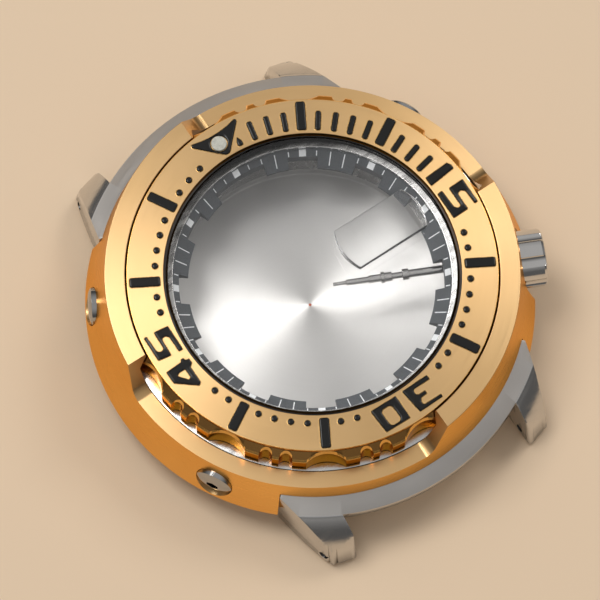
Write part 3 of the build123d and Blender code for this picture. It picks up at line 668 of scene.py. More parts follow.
# Bezel: turned ring whose outer edge follows twelve thumb scallops and pairs of flutes
bezelSizes = {
    "opening": 15.6, "top": 19.45, "grip": 20.4, "bore": 16.98, "boreRound": 0.05, "roof": 0.8, "edge": 0.07,
    "lip": 0.3, "lipRound": 0.02, "groove": 0.12, "grooveDepth": 0.15, "coneHeight": 0.75, "bevel": 0.21,
    "bevelDrop": 0.7,
    "scallops": 12, "scallopRadius": 3.53, "scallopDepth": 0.8, "fluteRadius": 0.69, "fluteDeg": 3.0,
    "teeth": 120, "toothDepth": 0.33, "toothFrom": 17.9, "toothTo": 19.1, "toothLead": 0.02, "segments": 2160,
}
bezelTop = high("bezel")


def makeBezel(s):
    bottom = low("bezel")
    lipFoot = bezelTop - s["lip"]
    coneTop = lipFoot - s["groove"]
    slope = s["coneHeight"] / (s["grip"] - s["top"])
    coneFoot = coneTop - s["coneHeight"]
    waist = s["top"] - s["grooveDepth"]
    roof = bezelTop - s["roof"]
    inner = rounded([
        (s["toothFrom"], bottom, 0), (s["bore"], bottom, s["boreRound"]), (s["bore"], roof, 0), (s["opening"], roof, 0),
        (s["opening"], bezelTop, s["edge"]), (s["top"], bezelTop, s["edge"]), (s["top"], lipFoot, s["lipRound"]),
        (waist, lipFoot, 0), (waist, coneTop, 0), (s["top"], coneTop, 0)], 0, steps=3, closed=False)
    wall = [(s["grip"] - s["bevel"], coneFoot + s["bevel"] * slope),
            (s["grip"], coneFoot - s["bevel"] * s["bevelDrop"]), (s["grip"], bottom)]
    teeth = [(s["toothTo"] + s["toothLead"], bottom), (s["toothTo"], bottom), (s["toothFrom"] + s["toothLead"], bottom)]
    outline = inner + wall + teeth
    obj = lathe("bezel_ring", outline, [goldTop], s["segments"])

    # what each ring of vertices does in the trees; rings not named here do nothing
    first = len(inner)
    last = len(outline) - 1
    marks = {
        "follows": {first: 1.0, first + 1: 1.0, first + 2: 1.0}, "inset": {first: s["bevel"] * mm},
        "rise": {first: 1.0, first + 1: 1.0}, "tooth": {last - 1: 1.0, last: 1.0},
    }
    for label, values in marks.items():
        markPoints(obj, label, [values.get(i, 0.0) for i in range(len(outline)) for _ in range(s["segments"])])
    cut = {"Count": s["scallops"], "Slope": slope, "Material": goldTop}
    place = (s["grip"] - s["scallopDepth"] + s["scallopRadius"]) * mm
    runTree(obj, grooves, {**cut, "Groove Radius": s["scallopRadius"] * mm, "Groove Place": place, "Start Deg": 0.0})
    cut.update({"Groove Radius": s["fluteRadius"] * mm, "Groove Place": s["grip"] * mm})
    for side in (-1, 1):
        runTree(obj, grooves, {**cut, "Start Deg": 180 / s["scallops"] + side * s["fluteDeg"]})
    runTree(obj, ratchet, {"Count": s["teeth"], "Depth": s["toothDepth"] * mm, "Material": goldTop})
    bake(obj)

    def which(c, normal):
        # the top is bare gold and the lip a bright edge; the cone and the walls of scallops and flutes get a darker
        # copy of the polished gold, painted shade for the dark reflections in them
        top = normal.z > 0.98 and c.z > bezelTop - nearby
        mouth = math.hypot(c.x, c.y) < s["top"] - 0.2 and c.z > bezelTop - 0.2
        if top or mouth:
            return 0
        return 2 if c.z < coneTop + nearby and (abs(normal.z) < 0.3 or normal.z > 0.7) else 1

    paintFaces(obj, (goldTop, goldEdge, goldPaintedShade), which)
    smoothShade(obj, angle=24)
    seat(obj, "bezel", "bezel", "bezel")


makeBezel(bezelSizes)
print("bezel made")

# Raised marks: bars every five minutes, ticks to minute 13, dots after it, a pointer and three numbers
markSizes = {
    "inner": 15.92, "outer": 19.2, "barWidth": 1.07, "tickWidth": 0.64, "tickLength": 2.22, "corner": 0.24,
    "dotRadius": 0.36, "dotPlace": 16.5, "height": 0.20, "edge": 0.17, "sink": 0.02,
    "rim": 0.07, "rimHeight": 0.035, "rimCut": 0.4, "figureCorner": 0.12,
    "pointerHalf": 10.0, "pointerTip": 19.3, "pointerFoot": 15.62, "pointerHollow": 0.8, "pointerCorner": 0.32,
    "pointerPoint": 0.55, "archSteps": 16, "archFrom": 4, "pipRadius": 0.84, "pipPlace": 17.35, "pipSide": -0.2,
    "pipGap": 0.06, "pipRound": 0.12, "pipSink": 0.01, "pipRise": 0.02,
    "dropInner": 15.95, "dropLength": 1.15, "dropWidth": 0.7, "dropWaist": 0.85, "dropShoulder": 0.6,
}
# Outlines of the figures, in mm: across from the number's centre line, and out from the case axis
figures = {
    90: [
        [(-2.14, 15.79), (-1.06, 15.79), (-1.42, 18.93), (-1.9, 18.9), (-2.33, 18.62)],
        [(0.1, 18.98), (3.04, 18.9), (3.06, 18.5), (1.35, 18.48, 0.35), (1.02, 18.1, 0.3), (1.16, 17.62, 0.3),
         (3.16, 17.58), (3.2, 15.72), (0.06, 15.8), (0.0, 16.42), (2.1, 16.46, 0.3), (2.5, 16.7, 0.3),
         (2.48, 17.14, 0.3), (0.16, 17.2)],
    ],
    180: [
        [(-3.6, 18.72), (-0.68, 18.78), (-0.32, 15.9), (-3.52, 15.84), (-3.54, 16.38), (-1.42, 16.42, 0.25),
         (-1.38, 16.95, 0.4), (-1.62, 17.14, 0.2), (-2.42, 17.12), (-2.44, 17.52), (-1.66, 17.56, 0.25),
         (-1.42, 17.95, 0.4), (-1.46, 18.34, 0.35), (-3.6, 18.34)],
        [(0.5, 18.74), (3.48, 18.68), (3.6, 15.88), (0.46, 15.94)],
        [(1.36, 18.42, 0.4), (2.66, 18.42, 0.4), (2.7, 16.44, 0.4), (1.4, 16.44, 0.4)],
    ],
    270: [
        [(-2.12, 18.8), (-0.72, 18.82), (-0.6, 16.92), (-0.36, 16.8), (-0.38, 16.44), (-0.66, 16.4),
         (-0.76, 15.98), (-1.3, 15.98), (-1.6, 16.36), (-3.56, 16.38), (-3.78, 16.72)],
        [(-1.66, 18.04, 0.1), (-1.5, 17.7, 0.1), (-1.5, 16.98, 0.12), (-2.5, 16.98, 0.12), (-2.66, 17.26, 0.12)],
        [(0.8, 18.78), (3.68, 18.7), (3.7, 18.36), (1.7, 18.34, 0.3), (1.44, 18.0, 0.3), (1.6, 17.6, 0.2),
         (3.66, 17.5), (3.44, 15.86), (0.44, 15.94), (0.46, 16.44), (2.3, 16.42, 0.3), (2.66, 16.7, 0.3),
         (2.62, 17.16, 0.3), (0.56, 17.3)],
    ],
}


def bar(width, inner, outer, corner):
    w = width / 2
    return rounded([(-w, inner), (w, inner), (w, outer), (-w, outer)], corner, steps=3)


def disc(radius, place, sides=40, side=0.0):
    turns = [k * 2 * math.pi / sides for k in range(sides)]
    return [(radius * math.sin(t) + side, place + radius * math.cos(t)) for t in turns]


def pointerOutline(s):
    # triangle with a hollow arch as its base and one round corner at its foot
    tipX, tipY = onClock(s["pointerHalf"], s["pointerTip"])
    hollow = s["pointerTip"] - s["pointerHollow"]
    arch = []
    for k in range(s["archFrom"], s["archSteps"] - s["archFrom"] + 1):
        t = -1 + 2 * k / s["archSteps"]
        arch.append((t * tipX, hollow + (tipY - hollow) * t * t, 0))
    ends = [(hand * tipX, tipY, s["pointerCorner"]) for hand in (-1, 1)]
    return rounded([ends[0]] + arch + [ends[1], (0, s["pointerFoot"], s["pointerPoint"])], 0, steps=6)


def dropOutline(s):
    w = s["dropWidth"] / 2
    foot = s["dropInner"]
    waist = w * s["dropWaist"]
    shoulder = foot + s["dropShoulder"]
    return rounded([(-w, foot, 0.25), (w, foot, 0.25), (waist, shoulder, 0.2), (0, foot + s["dropLength"], 0.08),
                    (-waist, shoulder, 0.2)], 0)


def makeMarks(s):
    z = bezelTop - s["sink"]
    figured = [m for c in (30, 45) for m in range(c - 2, c + 3)]
    minutes = {
        "bar": [m for m in range(5, 60, 5) if m not in (15, 30, 45)], "tick": [m for m in range(2, 14) if m % 5],
        "dot": [m for m in range(18, 59) if m % 5 and m not in figured],
    }
    shapes = {
        "bar": bar(s["barWidth"], s["inner"], s["outer"], s["corner"]),
        "tick": bar(s["tickWidth"], s["inner"], s["inner"] + s["tickLength"], s["corner"]),
        "dot": disc(s["dotRadius"], s["dotPlace"]),
    }
    black = []
    rims = []

    def inlay(label, outlines, clocks):
        # a raised mark, and the thin gold rim that it is set in
        mark = raised(label, outlines, z, s["height"] - s["edge"], s["edge"], blackEnamel)
        black.append(around(label + "s", mark, clocks, blackEnamel))
        rim = raised(label + "Rim", outlines, z, 0.0, s["rimHeight"], goldRim)
        for v in rim.data.vertices:
            v.co.z = min(v.co.z, (bezelTop + s["rimHeight"] * s["rimCut"]) * mm)
        rims.append(around(label + "Rims", widen(rim, s["rim"]), clocks, goldRim))

    for label, outline in shapes.items():
        inlay(label, [outline], [m * 6 for m in minutes[label]])
    pipHole = disc(s["pipRadius"] + s["pipGap"], s["pipPlace"], sides=64, side=s["pipSide"])
    inlay("pointer", [pointerOutline(s), pipHole], [0])
    inlay("drop", [dropOutline(s)], [6])
    for clock, outlines in figures.items():
        inlay("figure%d" % clock, [rounded(o, s["figureCorner"]) for o in outlines], [clock])
    enamel = join("bezel_enamel_marks", black)
    smoothShade(enamel, angle=40)
    seat(enamel, "bezel", "bezel_markers", "bezel_markers")
    edging = join("bezel_mark_rims", rims)
    smoothShade(edging, angle=40)
    seat(edging, "bezel", "bezel")


def makePip(s):
    top = high("lume_pip")
    foot = bezelTop - s["pipSink"]
    dome = rounded([(0, foot, 0), (s["pipRadius"], foot, 0), (s["pipRadius"], top, s["pipRound"]),
                    (0, top + s["pipRise"], 0)], 0, closed=False)
    pip = lathe("lume_pip_dome", dome, [lumePale], segments=96, closed=False)
    shift(pip, s["pipSide"], s["pipPlace"])
    smoothShade(pip, angle=50)
    seat(pip, "bezel", "lume_pip", "lume_pip")


makeMarks(markSizes)
makePip(markSizes)
print("marks made")

# Shroud: turned guard ring, opened by two finger cut-outs with slanted ends
shroudSizes = {
    "lip": 19.62, "lipTop": 12.706, "lipRound": 0.03, "lipSlope": 0.75 / 0.95, "bore": 20.67, "topRadius": 21.75,
    "skirt": 24.0, "skirtBore": 21.92, "skirtTop": 8.8, "flare": 0.16, "flareSteps": 18, "edge": 0.1,
    "rim": 9.55, "cutHalf": 45.0, "cutSpan": 6.0, "cutFrom": 15.0, "cutTo": 45.0, "slant": 0.638, "blend": 0.9,
    "cutClocks": (45.0, 225.0),
    "skirtCutHalf": 42.4, "skirtCutTop": 7.75, "crownRecess": 3.45, "crownGate": 20.4, "crownZ": 7.4,
    "crownClock": 115.0,
    "screwZ": 6.25, "screwRecess": 2.07, "screwSeat": 22.35, "screwBore": 1.02, "screwClocks": (60.0, 240.0, 300.0),
    "inside": 18.0, "outside": 40.0, "beyond": 60.0, "softEdge": 0.05, "segments": 720,
}


def shroudRadius(s, z):
    # the wall flares evenly downwards, and faster near its foot
    top = high("shroud")
    full = top - low("shroud")
    spread = s["skirt"] - s["topRadius"] - s["flare"] * full
    return s["topRadius"] + s["flare"] * (top - z) + spread * ((top - z) / full) ** 2


def fingerCut(s, deg):
    side = math.radians(s["cutHalf"])
    verts = []
    for z in (0.0, s["cutSpan"]):
        for hand, far in ((-1, s["cutFrom"]), (1, s["cutFrom"]), (1, s["cutTo"]), (-1, s["cutTo"])):
            x = far * math.sin(side) + z * s["slant"] * math.cos(side)
            y = far * math.cos(side) - z * s["slant"] * math.sin(side)
            verts.append((hand * x, y, s["rim"] + z))
    faces = [[3, 2, 1, 0], [4, 5, 6, 7], [0, 1, 5, 4], [1, 2, 6, 5], [2, 3, 7, 6], [3, 0, 4, 7]]
    cutter = newPiece("fingerCut", verts, faces)
    tidyMesh(cutter)
    with opened(cutter) as bm:
        # the lower edges of the two slanted ends
        ends = [e for e in bm.edges if all(abs(v.co.z - s["rim"] * mm) < 1e-7 for v in e.verts)
                and abs(e.verts[0].co.y - e.verts[1].co.y) > 0.001]
        bmesh.ops.bevel(bm, geom=ends, offset=s["blend"] * mm, segments=8, profile=0.5, affect="EDGES")
    turnTo(cutter, deg)
    return cutter


def wedge(name, half, far, bottom, top, deg):
    x, y = onClock(half, far)
    cutter = prism(name, [(0, 0), (x, y), (-x, y)], bottom, top)
    turnTo(cutter, deg)
    return cutter


def makeShroud(s):
    top = high("shroud")
    foot = low("shroud")
    e = s["edge"]
    levels = [top + (foot - top) * k / s["flareSteps"] for k in range(1, s["flareSteps"])]
    outline = [(s["lip"], top, e), (s["topRadius"], top, e)] + [(shroudRadius(s, z), z, 0) for z in levels]
    outline += [
        (s["skirt"], foot, e), (s["skirtBore"], foot, e), (s["bore"], s["skirtTop"], 0),
        (s["bore"], s["lipTop"] - s["lipSlope"] * (s["bore"] - s["lip"]), 0), (s["lip"], s["lipTop"], s["lipRound"])]
    obj = lathe("shroud_ring", rounded(outline, 0, steps=3), [goldTop], s["segments"])
    cutters = [fingerCut(s, deg) for deg in s["cutClocks"]]
    cutters += [wedge("skirtCut", s["skirtCutHalf"], s["beyond"], foot - 1, s["skirtCutTop"], deg) for deg in (0, 180)]
    recess, clock = s["crownRecess"], s["crownClock"]
    cutters.append(radialRod("crownSlot", recess, s["inside"], s["outside"], s["crownZ"], clock))
    cutters.append(slab("crownGate", recess, s["crownGate"], s["outside"], foot - 1, s["crownZ"], clock))
    for deg in s["screwClocks"]:
        cutters.append(radialRod("screwSink", s["screwRecess"], s["screwSeat"], s["outside"], s["screwZ"], deg))
        cutters.append(radialRod("screwBore", s["screwBore"], s["inside"], s["outside"], s["screwZ"], deg, sides=48))
    carve(obj, "DIFFERENCE", *cutters)
    tidyMesh(obj)
    breakEdges(obj, s["softEdge"], angle=35)

    def which(c, normal):
        # only walls that face outwards are deep gold; upward faces and the slanted ends are like the top
        out = (normal.x * c.x + normal.y * c.y) / math.hypot(c.x, c.y)
        upward = normal.z > 0.6 or (normal.z > 0.25 and abs(out) < 0.5)
        return 1 if out > 0 and not upward else 0

    paintFaces(obj, (goldTop, goldWall), which)
    smoothShade(obj, angle=24)
    seat(obj, "case", "shroud", "shroud")


makeShroud(shroudSizes)
print("shroud made")

# Mid-case: turned steel core with flange and lugs left bare at 12 and 6 o'clock
caseSizes = {
    "thread": 16.28, "base": 19.6, "foot": 21.8, "wall": 20.55, "deck": 9.35, "neck": 16.9, "neckTop": 12.0,
    "gasketBore": 15.83, "seat": 10.75, "ledge": 14.64, "ledgeFoot": 10.15, "cavity": 15.0, "bossTop": 3.1,
    "baseZ": 1.15, "wallFoot": 8.8, "skirt": 3.85, "skirtDrop": 0.3, "springInner": 17.63, "springOuter": 19.37,
    "springFloor": 8.9, "crownSeat": 20.45, "crownEnd": 40.0, "tubeBore": 1.29, "tubeFrom": 13.0, "tubeTo": 30.0,
    "edge": 0.07, "softEdge": 0.08, "segments": 720,
    # flange and the section of the lugs
    "root": 18.0, "rootZ": 0.6, "overlap": 0.1, "baseRise": 0.04, "step": 7.7, "crease": 24.73, "creaseZ": 6.7,
    "creaseLine": 0.05, "creaseDrop": 0.95, "undercut": 22.1, "undercutZ": 5.2, "edgeFoot": 5.5, "heel": 21.2,
    "heelOut": 0.4, "heelZ": 2.7, "hollow": 0.03, "hollowFrom": 14.0, "ramp": 27.03, "rampZ": 4.45, "rampBow": 0.1,
    "runOut": 0.75, "runDrop": 1.03, "tip": 28.43, "lugFoot": 0.5,
    # plan of the lugs
    "gap": 11.0, "gapFrom": 15.0, "gapTo": 40.0, "gapFoot": -3.0, "gapTop": 12.0, "under": -4.0,
    "planFrom": 14.8, "planLift": 0.001, "rootDeg": 42.25, "rootRadius": 23.17,
    "endX": 13.71, "endXTop": 12.83, "endY": 25.4, "bow": 0.2, "frontRadius": 46.7, "frontY": 26.9, "frontYTop": 25.43,
    "noseHeight": 1.35, "noseDepth": 0.45, "noseRound": 0.05, "noseSlope": 0.42, "frontFrom": 20.0, "frontFoot": -1.0,
    "ceiling": 14.0,
    "cornerRound": 0.45, "cornerLap": 0.006, "cornerTurn": 0.42, "cornerReach": 0.9, "cornerSteps": 26,
    "cornerFoot": -0.003, "barY": 23.444, "barZ": 1.35, "barRadius": 0.5, "barReach": 20.0,
    "flankFrom": 21.9, "lugFrom": 14.0,
}


def lugPlan(s, endX):
    # outline of the lugs' sides at one level, open beyond their front
    a = Vector(onClock(s["rootDeg"], s["rootRadius"]))
    b = Vector((endX, s["endY"]))
    normal = Vector((b.y - a.y, a.x - b.x)).normalized()
    middle = (a + b) / 2 + normal * s["bow"]
    side = arcThrough(tuple(a), tuple(middle), tuple(b), 24)
    beyond = [(s["gap"], s["frontY"]), (-s["gap"], s["frontY"])]
    behind = [(-s["gap"], s["planFrom"]), (s["gap"], s["planFrom"])]
    return side + beyond + [(-x, y) for x, y in side[::-1]] + behind


def lugFront(s):
    # block that ends at the arched front of the lugs: drawn in upwards, with a rounded nose
    draft = (s["frontY"] - s["frontYTop"]) / s["step"]
    startZ = s["rampZ"] - s["noseHeight"]
    start = s["frontRadius"] - draft * startZ
    end = start - s["noseDepth"]
    middle = (start - s["noseDepth"] / 2 + s["noseRound"], (startZ + s["rampZ"]) / 2 + s["noseRound"])
    nose = arcThrough((start, startZ), middle, (end, s["rampZ"]), 8)
    over = (end - s["noseSlope"] * (s["ceiling"] - s["rampZ"]), s["ceiling"])
    foot = s["frontFoot"]
    outline = [(s["frontFrom"], foot), (s["frontRadius"] + draft, foot)] + nose + [over, (s["frontFrom"], s["ceiling"])]
    block = lathe("lugFront", outline, segments=1440)
    shift(block, y=s["frontY"] - s["frontRadius"])
    return block


def cornerPlan(s, hand, side, endX, frontY):
    # one level of the cutter that rounds a corner of a lug's front: an arc, and a way round outside the lug
    middleY = frontY - s["frontRadius"]
    x = s["gap"]
    back = Vector((0, -1))  # from the corner back along its flank
    if side == "outer":
        rootX, rootY = onClock(s["rootDeg"], s["rootRadius"])
        lean = (rootX - endX) / (s["endY"] - rootY)
        back = Vector((lean, -1)).normalized()
        x = endX
        for _ in range(4):  # closes in on where the flank meets the arched front
            x = endX + (s["endY"] - middleY - math.sqrt(s["frontRadius"] ** 2 - x * x)) * lean
    corner = Vector((x, middleY + math.sqrt(s["frontRadius"] ** 2 - x * x)))
    along = Vector((corner.y - middleY, -corner.x)).normalized() * (-1 if side == "outer" else 1)
    half = back.angle(along) / 2
    r = s["cornerRound"]
    centre = corner + (back + along).normalized() * ((r - s["cornerLap"]) / math.sin(half))
    middle = (corner - centre).normalized() * r
    turns = [math.pi * s["cornerTurn"] * (2 * k / s["cornerSteps"] - 1) for k in range(s["cornerSteps"] + 1)]
    arc = [centre + Matrix.Rotation(t, 2) @ middle for t in turns]
    if (arc[0] - corner - back).length > (arc[-1] - corner - back).length:
        arc.reverse()
    reach = s["cornerReach"]
    outside = [arc[-1] - back * reach, corner - back * reach - along * reach, arc[0] - along * reach]
    return [(hand * p.x, p.y) for p in arc + outside]


def cornerCutter(s, hand, side):
    lower = cornerPlan(s, hand, side, s["endX"], s["frontY"])
    upper = cornerPlan(s, hand, side, s["endXTop"], s["frontYTop"])
    return prism("corner", lower, s["cornerFoot"], s["step"], upper)


def lugEnd(s, deg):
    # both lugs of one end, with the flange between them
    line = s["creaseLine"]
    base = (s["base"] - s["overlap"], s["baseZ"] + s["baseRise"])
    step = (shroudRadius(shroudSizes, s["step"]), s["step"])
    rampMiddle = ((s["crease"] + s["ramp"]) / 2 + s["rampBow"], (s["creaseZ"] + s["rampZ"]) / 2 + s["rampBow"])
    ramp = arcThrough((s["ramp"], s["rampZ"]), rampMiddle, (s["crease"], s["creaseZ"]), 10)
    ramp.insert(-1, (s["crease"] + line, s["creaseZ"] - line * s["creaseDrop"]))
    runOut = (s["ramp"] + s["runOut"], s["rampZ"] - s["runDrop"])
    rise = (s["step"] - s["creaseZ"]) / (s["crease"] - step[0])
    outline = [(s["root"], s["baseZ"] + s["rootZ"]), base, (s["heel"], s["lugFoot"]), (s["tip"], s["lugFoot"]),
               (s["tip"], runOut[1]), runOut]
    outline += ramp + [(s["crease"] - line, s["creaseZ"] + line * rise), step, (s["root"], s["step"])]
    lugs = lathe("lugs", outline, [steelSatin], s["segments"])
    plan = prism("plan", lugPlan(s, s["endX"]), 0.0, s["step"], lugPlan(s, s["endXTop"]))
    shift(plan, z=s["planLift"])
    carve(lugs, "INTERSECT", plan)
    carve(lugs, "INTERSECT", lugFront(s))
    # the strap gap leaves the flange: its cutter is hollowed by the flange's own section
    hollow = s["crease"] - line - s["hollow"]
    flange = [(s["hollowFrom"], s["under"]), (base[0], s["under"]), base, (s["base"] + s["heelOut"], s["heelZ"]),
              (s["undercut"], s["undercutZ"]), (hollow, s["edgeFoot"]), (hollow, s["ceiling"]),
              (s["hollowFrom"], s["ceiling"])]
    gap = slab("strapGap", s["gap"], s["gapFrom"], s["gapTo"], s["gapFoot"], s["gapTop"], 0)
    carve(gap, "DIFFERENCE", lathe("flange", flange, segments=s["segments"]))
    carve(lugs, "DIFFERENCE", gap)
    carve(lugs, "DIFFERENCE", *[cornerCutter(s, hand, side) for hand in (-1, 1) for side in ("outer", "inner")])
    hole = prism("barHole", disc(s["barRadius"], 0, sides=48), -s["barReach"], s["barReach"])
    across = Matrix.Rotation(math.radians(90), 4, "Y")
    hole.data.transform(Matrix.Translation((0, s["barY"] * mm, s["barZ"] * mm)) @ across)
    carve(lugs, "DIFFERENCE", hole)
    turnTo(lugs, deg)
    return lugs


def makeCase(s):
    e = s["edge"]
    core = lathe("case_body", rounded([
        (s["thread"], s["baseZ"], 0.1), (s["base"], s["baseZ"], 0.2), (s["foot"], s["skirt"] - s["skirtDrop"], 0.1),
        (s["foot"], s["skirt"], 0), (s["wall"], s["wallFoot"], 0), (s["wall"], s["deck"], e),
        (s["springOuter"], s["deck"], 0.03), (s["springOuter"], s["springFloor"], 0),
        (s["springInner"], s["springFloor"], 0), (s["springInner"], s["deck"], 0.03), (s["neck"], s["deck"], 0),
        (s["neck"], s["neckTop"], 0.08), (s["gasketBore"], s["neckTop"], 0.08), (s["gasketBore"], s["seat"], 0),
        (s["ledge"], s["seat"], 0.05), (s["ledge"], s["ledgeFoot"], 0.05), (s["cavity"], s["ledgeFoot"], 0),
        (s["cavity"], s["bossTop"], 0), (s["thread"], s["bossTop"], 0)], 0, steps=3), [steelSatin], s["segments"])
    carve(core, "UNION", lugEnd(s, 0), lugEnd(s, 180))
    recess, z, clock = shroudSizes["crownRecess"], shroudSizes["crownZ"], shroudSizes["crownClock"]
    carve(core, "DIFFERENCE", radialRod("crownSink", recess, s["crownSeat"], s["crownEnd"], z, clock),
          radialRod("tubeBore", s["tubeBore"], s["tubeFrom"], s["tubeTo"], z, clock, sides=48))
    tidyMesh(core)
    breakEdges(core, s["softEdge"], angle=35)

    def which(c, normal):
        r = math.hypot(c.x, c.y)
        # the walls of the spring-bar holes get painted shade
        if math.hypot(abs(c.y) - s["barY"], c.z - s["barZ"]) < s["barRadius"] and abs(normal.x) < 0.5:
            return 4
        # the thin chamfer along the crease is a real polished edge, painted brighter than the steel beside it as a
        # highlight
        if abs(r - s["crease"]) < s["creaseLine"] and normal.z > 0.5 and abs(c.z - s["creaseZ"]) < 0.1:
            return 2
        if r < s["wall"] + nearby and c.z > s["skirt"]:
            return 3
        ramp = r > s["crease"] and normal.z > 0.2
        flank = abs(normal.z) < 0.3 and r > s["flankFrom"] and abs(c.y) > s["lugFrom"]
        return 1 if ramp or flank else 0

    paintFaces(core, (steelSatin, steelLug, creaseHighlight, steelDeck, paintedBoreShade), which)
    smoothShade(core, angle=26, flats=False)
    seat(core, "case", "mid_case", "mid_case")


makeCase(caseSizes)
print("case made")

# Crystal and the date lens on it
crystalSizes = {
    "radius": 15.35, "bevel": 0.22, "footBevel": 0.08, "lensEdge": 13.447, "lensLength": 9.747, "lensHalf": 2.437,
    "lensBulge": 0.65, "lensRise": 0.75, "lensDome": 0.3, "lensGap": 0.004, "lensBevel": 0.10,
    "across": 28, "along": 40,
}


def makeCrystal(s):
    foot = low("crystal")
    top = high("crystal")
    profile = [(0, foot), (s["radius"] - s["footBevel"], foot), (s["radius"], foot + s["footBevel"]),
               (s["radius"], top - s["bevel"]), (s["radius"] - s["bevel"], top), (0, top)]
    disk = lathe("crystal_disc", profile, closed=False)
    # the crystal's side and bevel are opaque dark metal, painted shade where the glass edge looks dark
    paintFaces(disk, (sapphireClear, crystalEdgeShade), lambda c, normal: 1 if abs(normal.z) < 0.9 else 0)
    smoothShade(disk, angle=20)
    seat(disk, "case", "crystal", "crystal")


def makeLens(s):
    # slice of a cylinder with bulging ends: a grid below, a grid above and a wall round them
    half = s["lensHalf"]
    base = high("crystal") + s["lensGap"]
    across = s["across"]
    along = s["along"]
    verts = []
    for level in (0, 1):
        for i in range(across + 1):
            y = -half + 2 * half * i / across
            bulge = s["lensBulge"] * (1 - (y / half) ** 2)
            near = s["lensEdge"] - s["lensLength"] + s["lensBulge"] - bulge
            far = s["lensEdge"] - s["lensBulge"] + bulge
            rise = s["lensRise"] + s["lensDome"] * (1 - (y / half) ** 2)
            for k in range(along + 1):
                verts.append((near + (far - near) * k / along, y, base + level * rise))
    row = along + 1
    count = row * (across + 1)
    faces = []
    for i in range(across):
        for k in range(along):
            a = i * row + k
            faces.append([a, a + row, a + row + 1, a + 1])
            faces.append([count + a, count + a + 1, count + a + row + 1, count + a + row])
    rim = list(range(row)) + [i * row + along for i in range(1, across + 1)]
    rim += [across * row + k for k in range(along - 1, -1, -1)] + [i * row for i in range(across - 1, 0, -1)]
    for a, b in zip(rim, rim[1:] + rim[:1]):
        faces.append([a, b, count + b, count + a])
    lens = newPiece("date_lens", verts, faces)
    tidyMesh(lens)
    breakEdges(lens, s["lensBevel"], angle=40, segments=3)
    paintFaces(lens, (sapphireClear, sapphireEdge), lambda c, normal: 1 if abs(normal.z) < 0.85 else 0)
    smoothShade(lens, angle=30)
    seat(lens, "case", "date_magnifier", "date_magnifier")


makeCrystal(crystalSizes)
makeLens(crystalSizes)

# Chapter ring: sloping minute ring with a notch at each hour
chapterSizes = {
    "outer": 14.96, "ledge": 14.64, "base": 13.98, "tongue": 13.03, "notch": 6.7, "wideNotch": 12.7, "plate": 0.4,
    "line": 0.11, "lineOuter": 14.5, "shortInner": 14.06, "longInner": 13.3,
    "block": 0.74, "blockInner": 14.0, "blockOuter": 14.6, "proud": 0.012,
}


def chapterHeight(s, r):
    top = high("chapter_ring")
    fall = top - low("chapter_ring") - s["plate"]
    return top - fall * (s["ledge"] - r) / (s["ledge"] - s["tongue"])


def chapterColumns(s):
    # clock angle and inner radius of each section round the ring: a notch, then a tongue, for every hour
    columns = []
    for hour in range(12):
        half = s["wideNotch"] if hour == 0 else s["notch"]
        after = s["wideNotch"] if hour == 11 else s["notch"]
        start = hour * 30 - half if hour else -half
        end = hour * 30 + half
        nextStart = (hour + 1) * 30 - after
        columns += [(start + (end - start) * k / 12, s["base"]) for k in range(13)]
        columns += [(end + (nextStart - end) * k / 16, s["tongue"]) for k in range(17)]
    return columns


def stroke(s, name, width, inner, outer):
    # printed line at 12 o'clock, a little proud of the slope
    w = width / 2
    verts = []
    for r in (inner, outer):
        z = chapterHeight(s, r)
        for lift in (-s["proud"], s["proud"]):
            verts += [(-w, r, z + lift), (w, r, z + lift)]
    faces = [[0, 1, 3, 2], [4, 6, 7, 5], [0, 2, 6, 4], [1, 5, 7, 3], [2, 3, 7, 6], [0, 4, 5, 1]]
    mark = newPiece(name, verts, faces, [whitePrint])
    tidyMesh(mark)
    return mark


def makeChapter(s):
    top = high("chapter_ring")
    foot = low("chapter_ring")
    verts = []
    columns = chapterColumns(s)
    for deg, inner in columns:
        section = ((s["outer"], foot), (s["outer"], top), (s["ledge"], top), (s["base"], chapterHeight(s, s["base"])),
                   (inner, chapterHeight(s, inner)), (inner, foot), (s["base"], foot))
        for r, z in section:
            verts.append((*onClock(deg, r), z))
    n = len(section)
    faces = []
    for i in range(len(columns)):
        j = (i + 1) % len(columns)
        faces += [[i * n + k, i * n + (k + 1) % n, j * n + (k + 1) % n, j * n + k] for k in range(n)]
    ring = newPiece("minute_ring", verts, faces, [slateMatt])
    tidyMesh(ring, 0.002)
    smoothShade(ring, angle=25)
    seat(ring, "case", "chapter_ring", "chapter_ring")

    hours = range(12)
    nearTop = (12, 348)  # lines beside 12 o'clock are short, where the wide notch leaves no room
    longClocks = [h * 30 + d for h in hours for d in (12, 18) if h * 30 + d not in nearTop]
    shortClocks = [h * 30 + d for h in hours for d in (6, 24)] + list(nearTop)
    blockClocks = [h * 30 for h in hours]
    prints = [
        around("blocks", stroke(s, "block", s["block"], s["blockInner"], s["blockOuter"]), blockClocks, whitePrint),
        around("shorts", stroke(s, "short", s["line"], s["shortInner"], s["lineOuter"]), shortClocks, whitePrint),
        around("longs", stroke(s, "long", s["line"], s["longInner"], s["lineOuter"]), longClocks, whitePrint),
    ]
    seat(join("minute_ring_print", prints), "case", "chapter_ring")


makeChapter(chapterSizes)
print("crystal and minute ring made")

# Shroud screws, low domes with a hexagon socket
screwSizes = {
    "head": 2.02, "seat": 22.4, "rise": 0.4, "bevel": 0.42, "shank": 0.9, "end": 18.3, "socket": 0.74,
    "socketDepth": 0.8, "z": 6.25, "domeSteps": 12, "softEdge": 0.05,
}


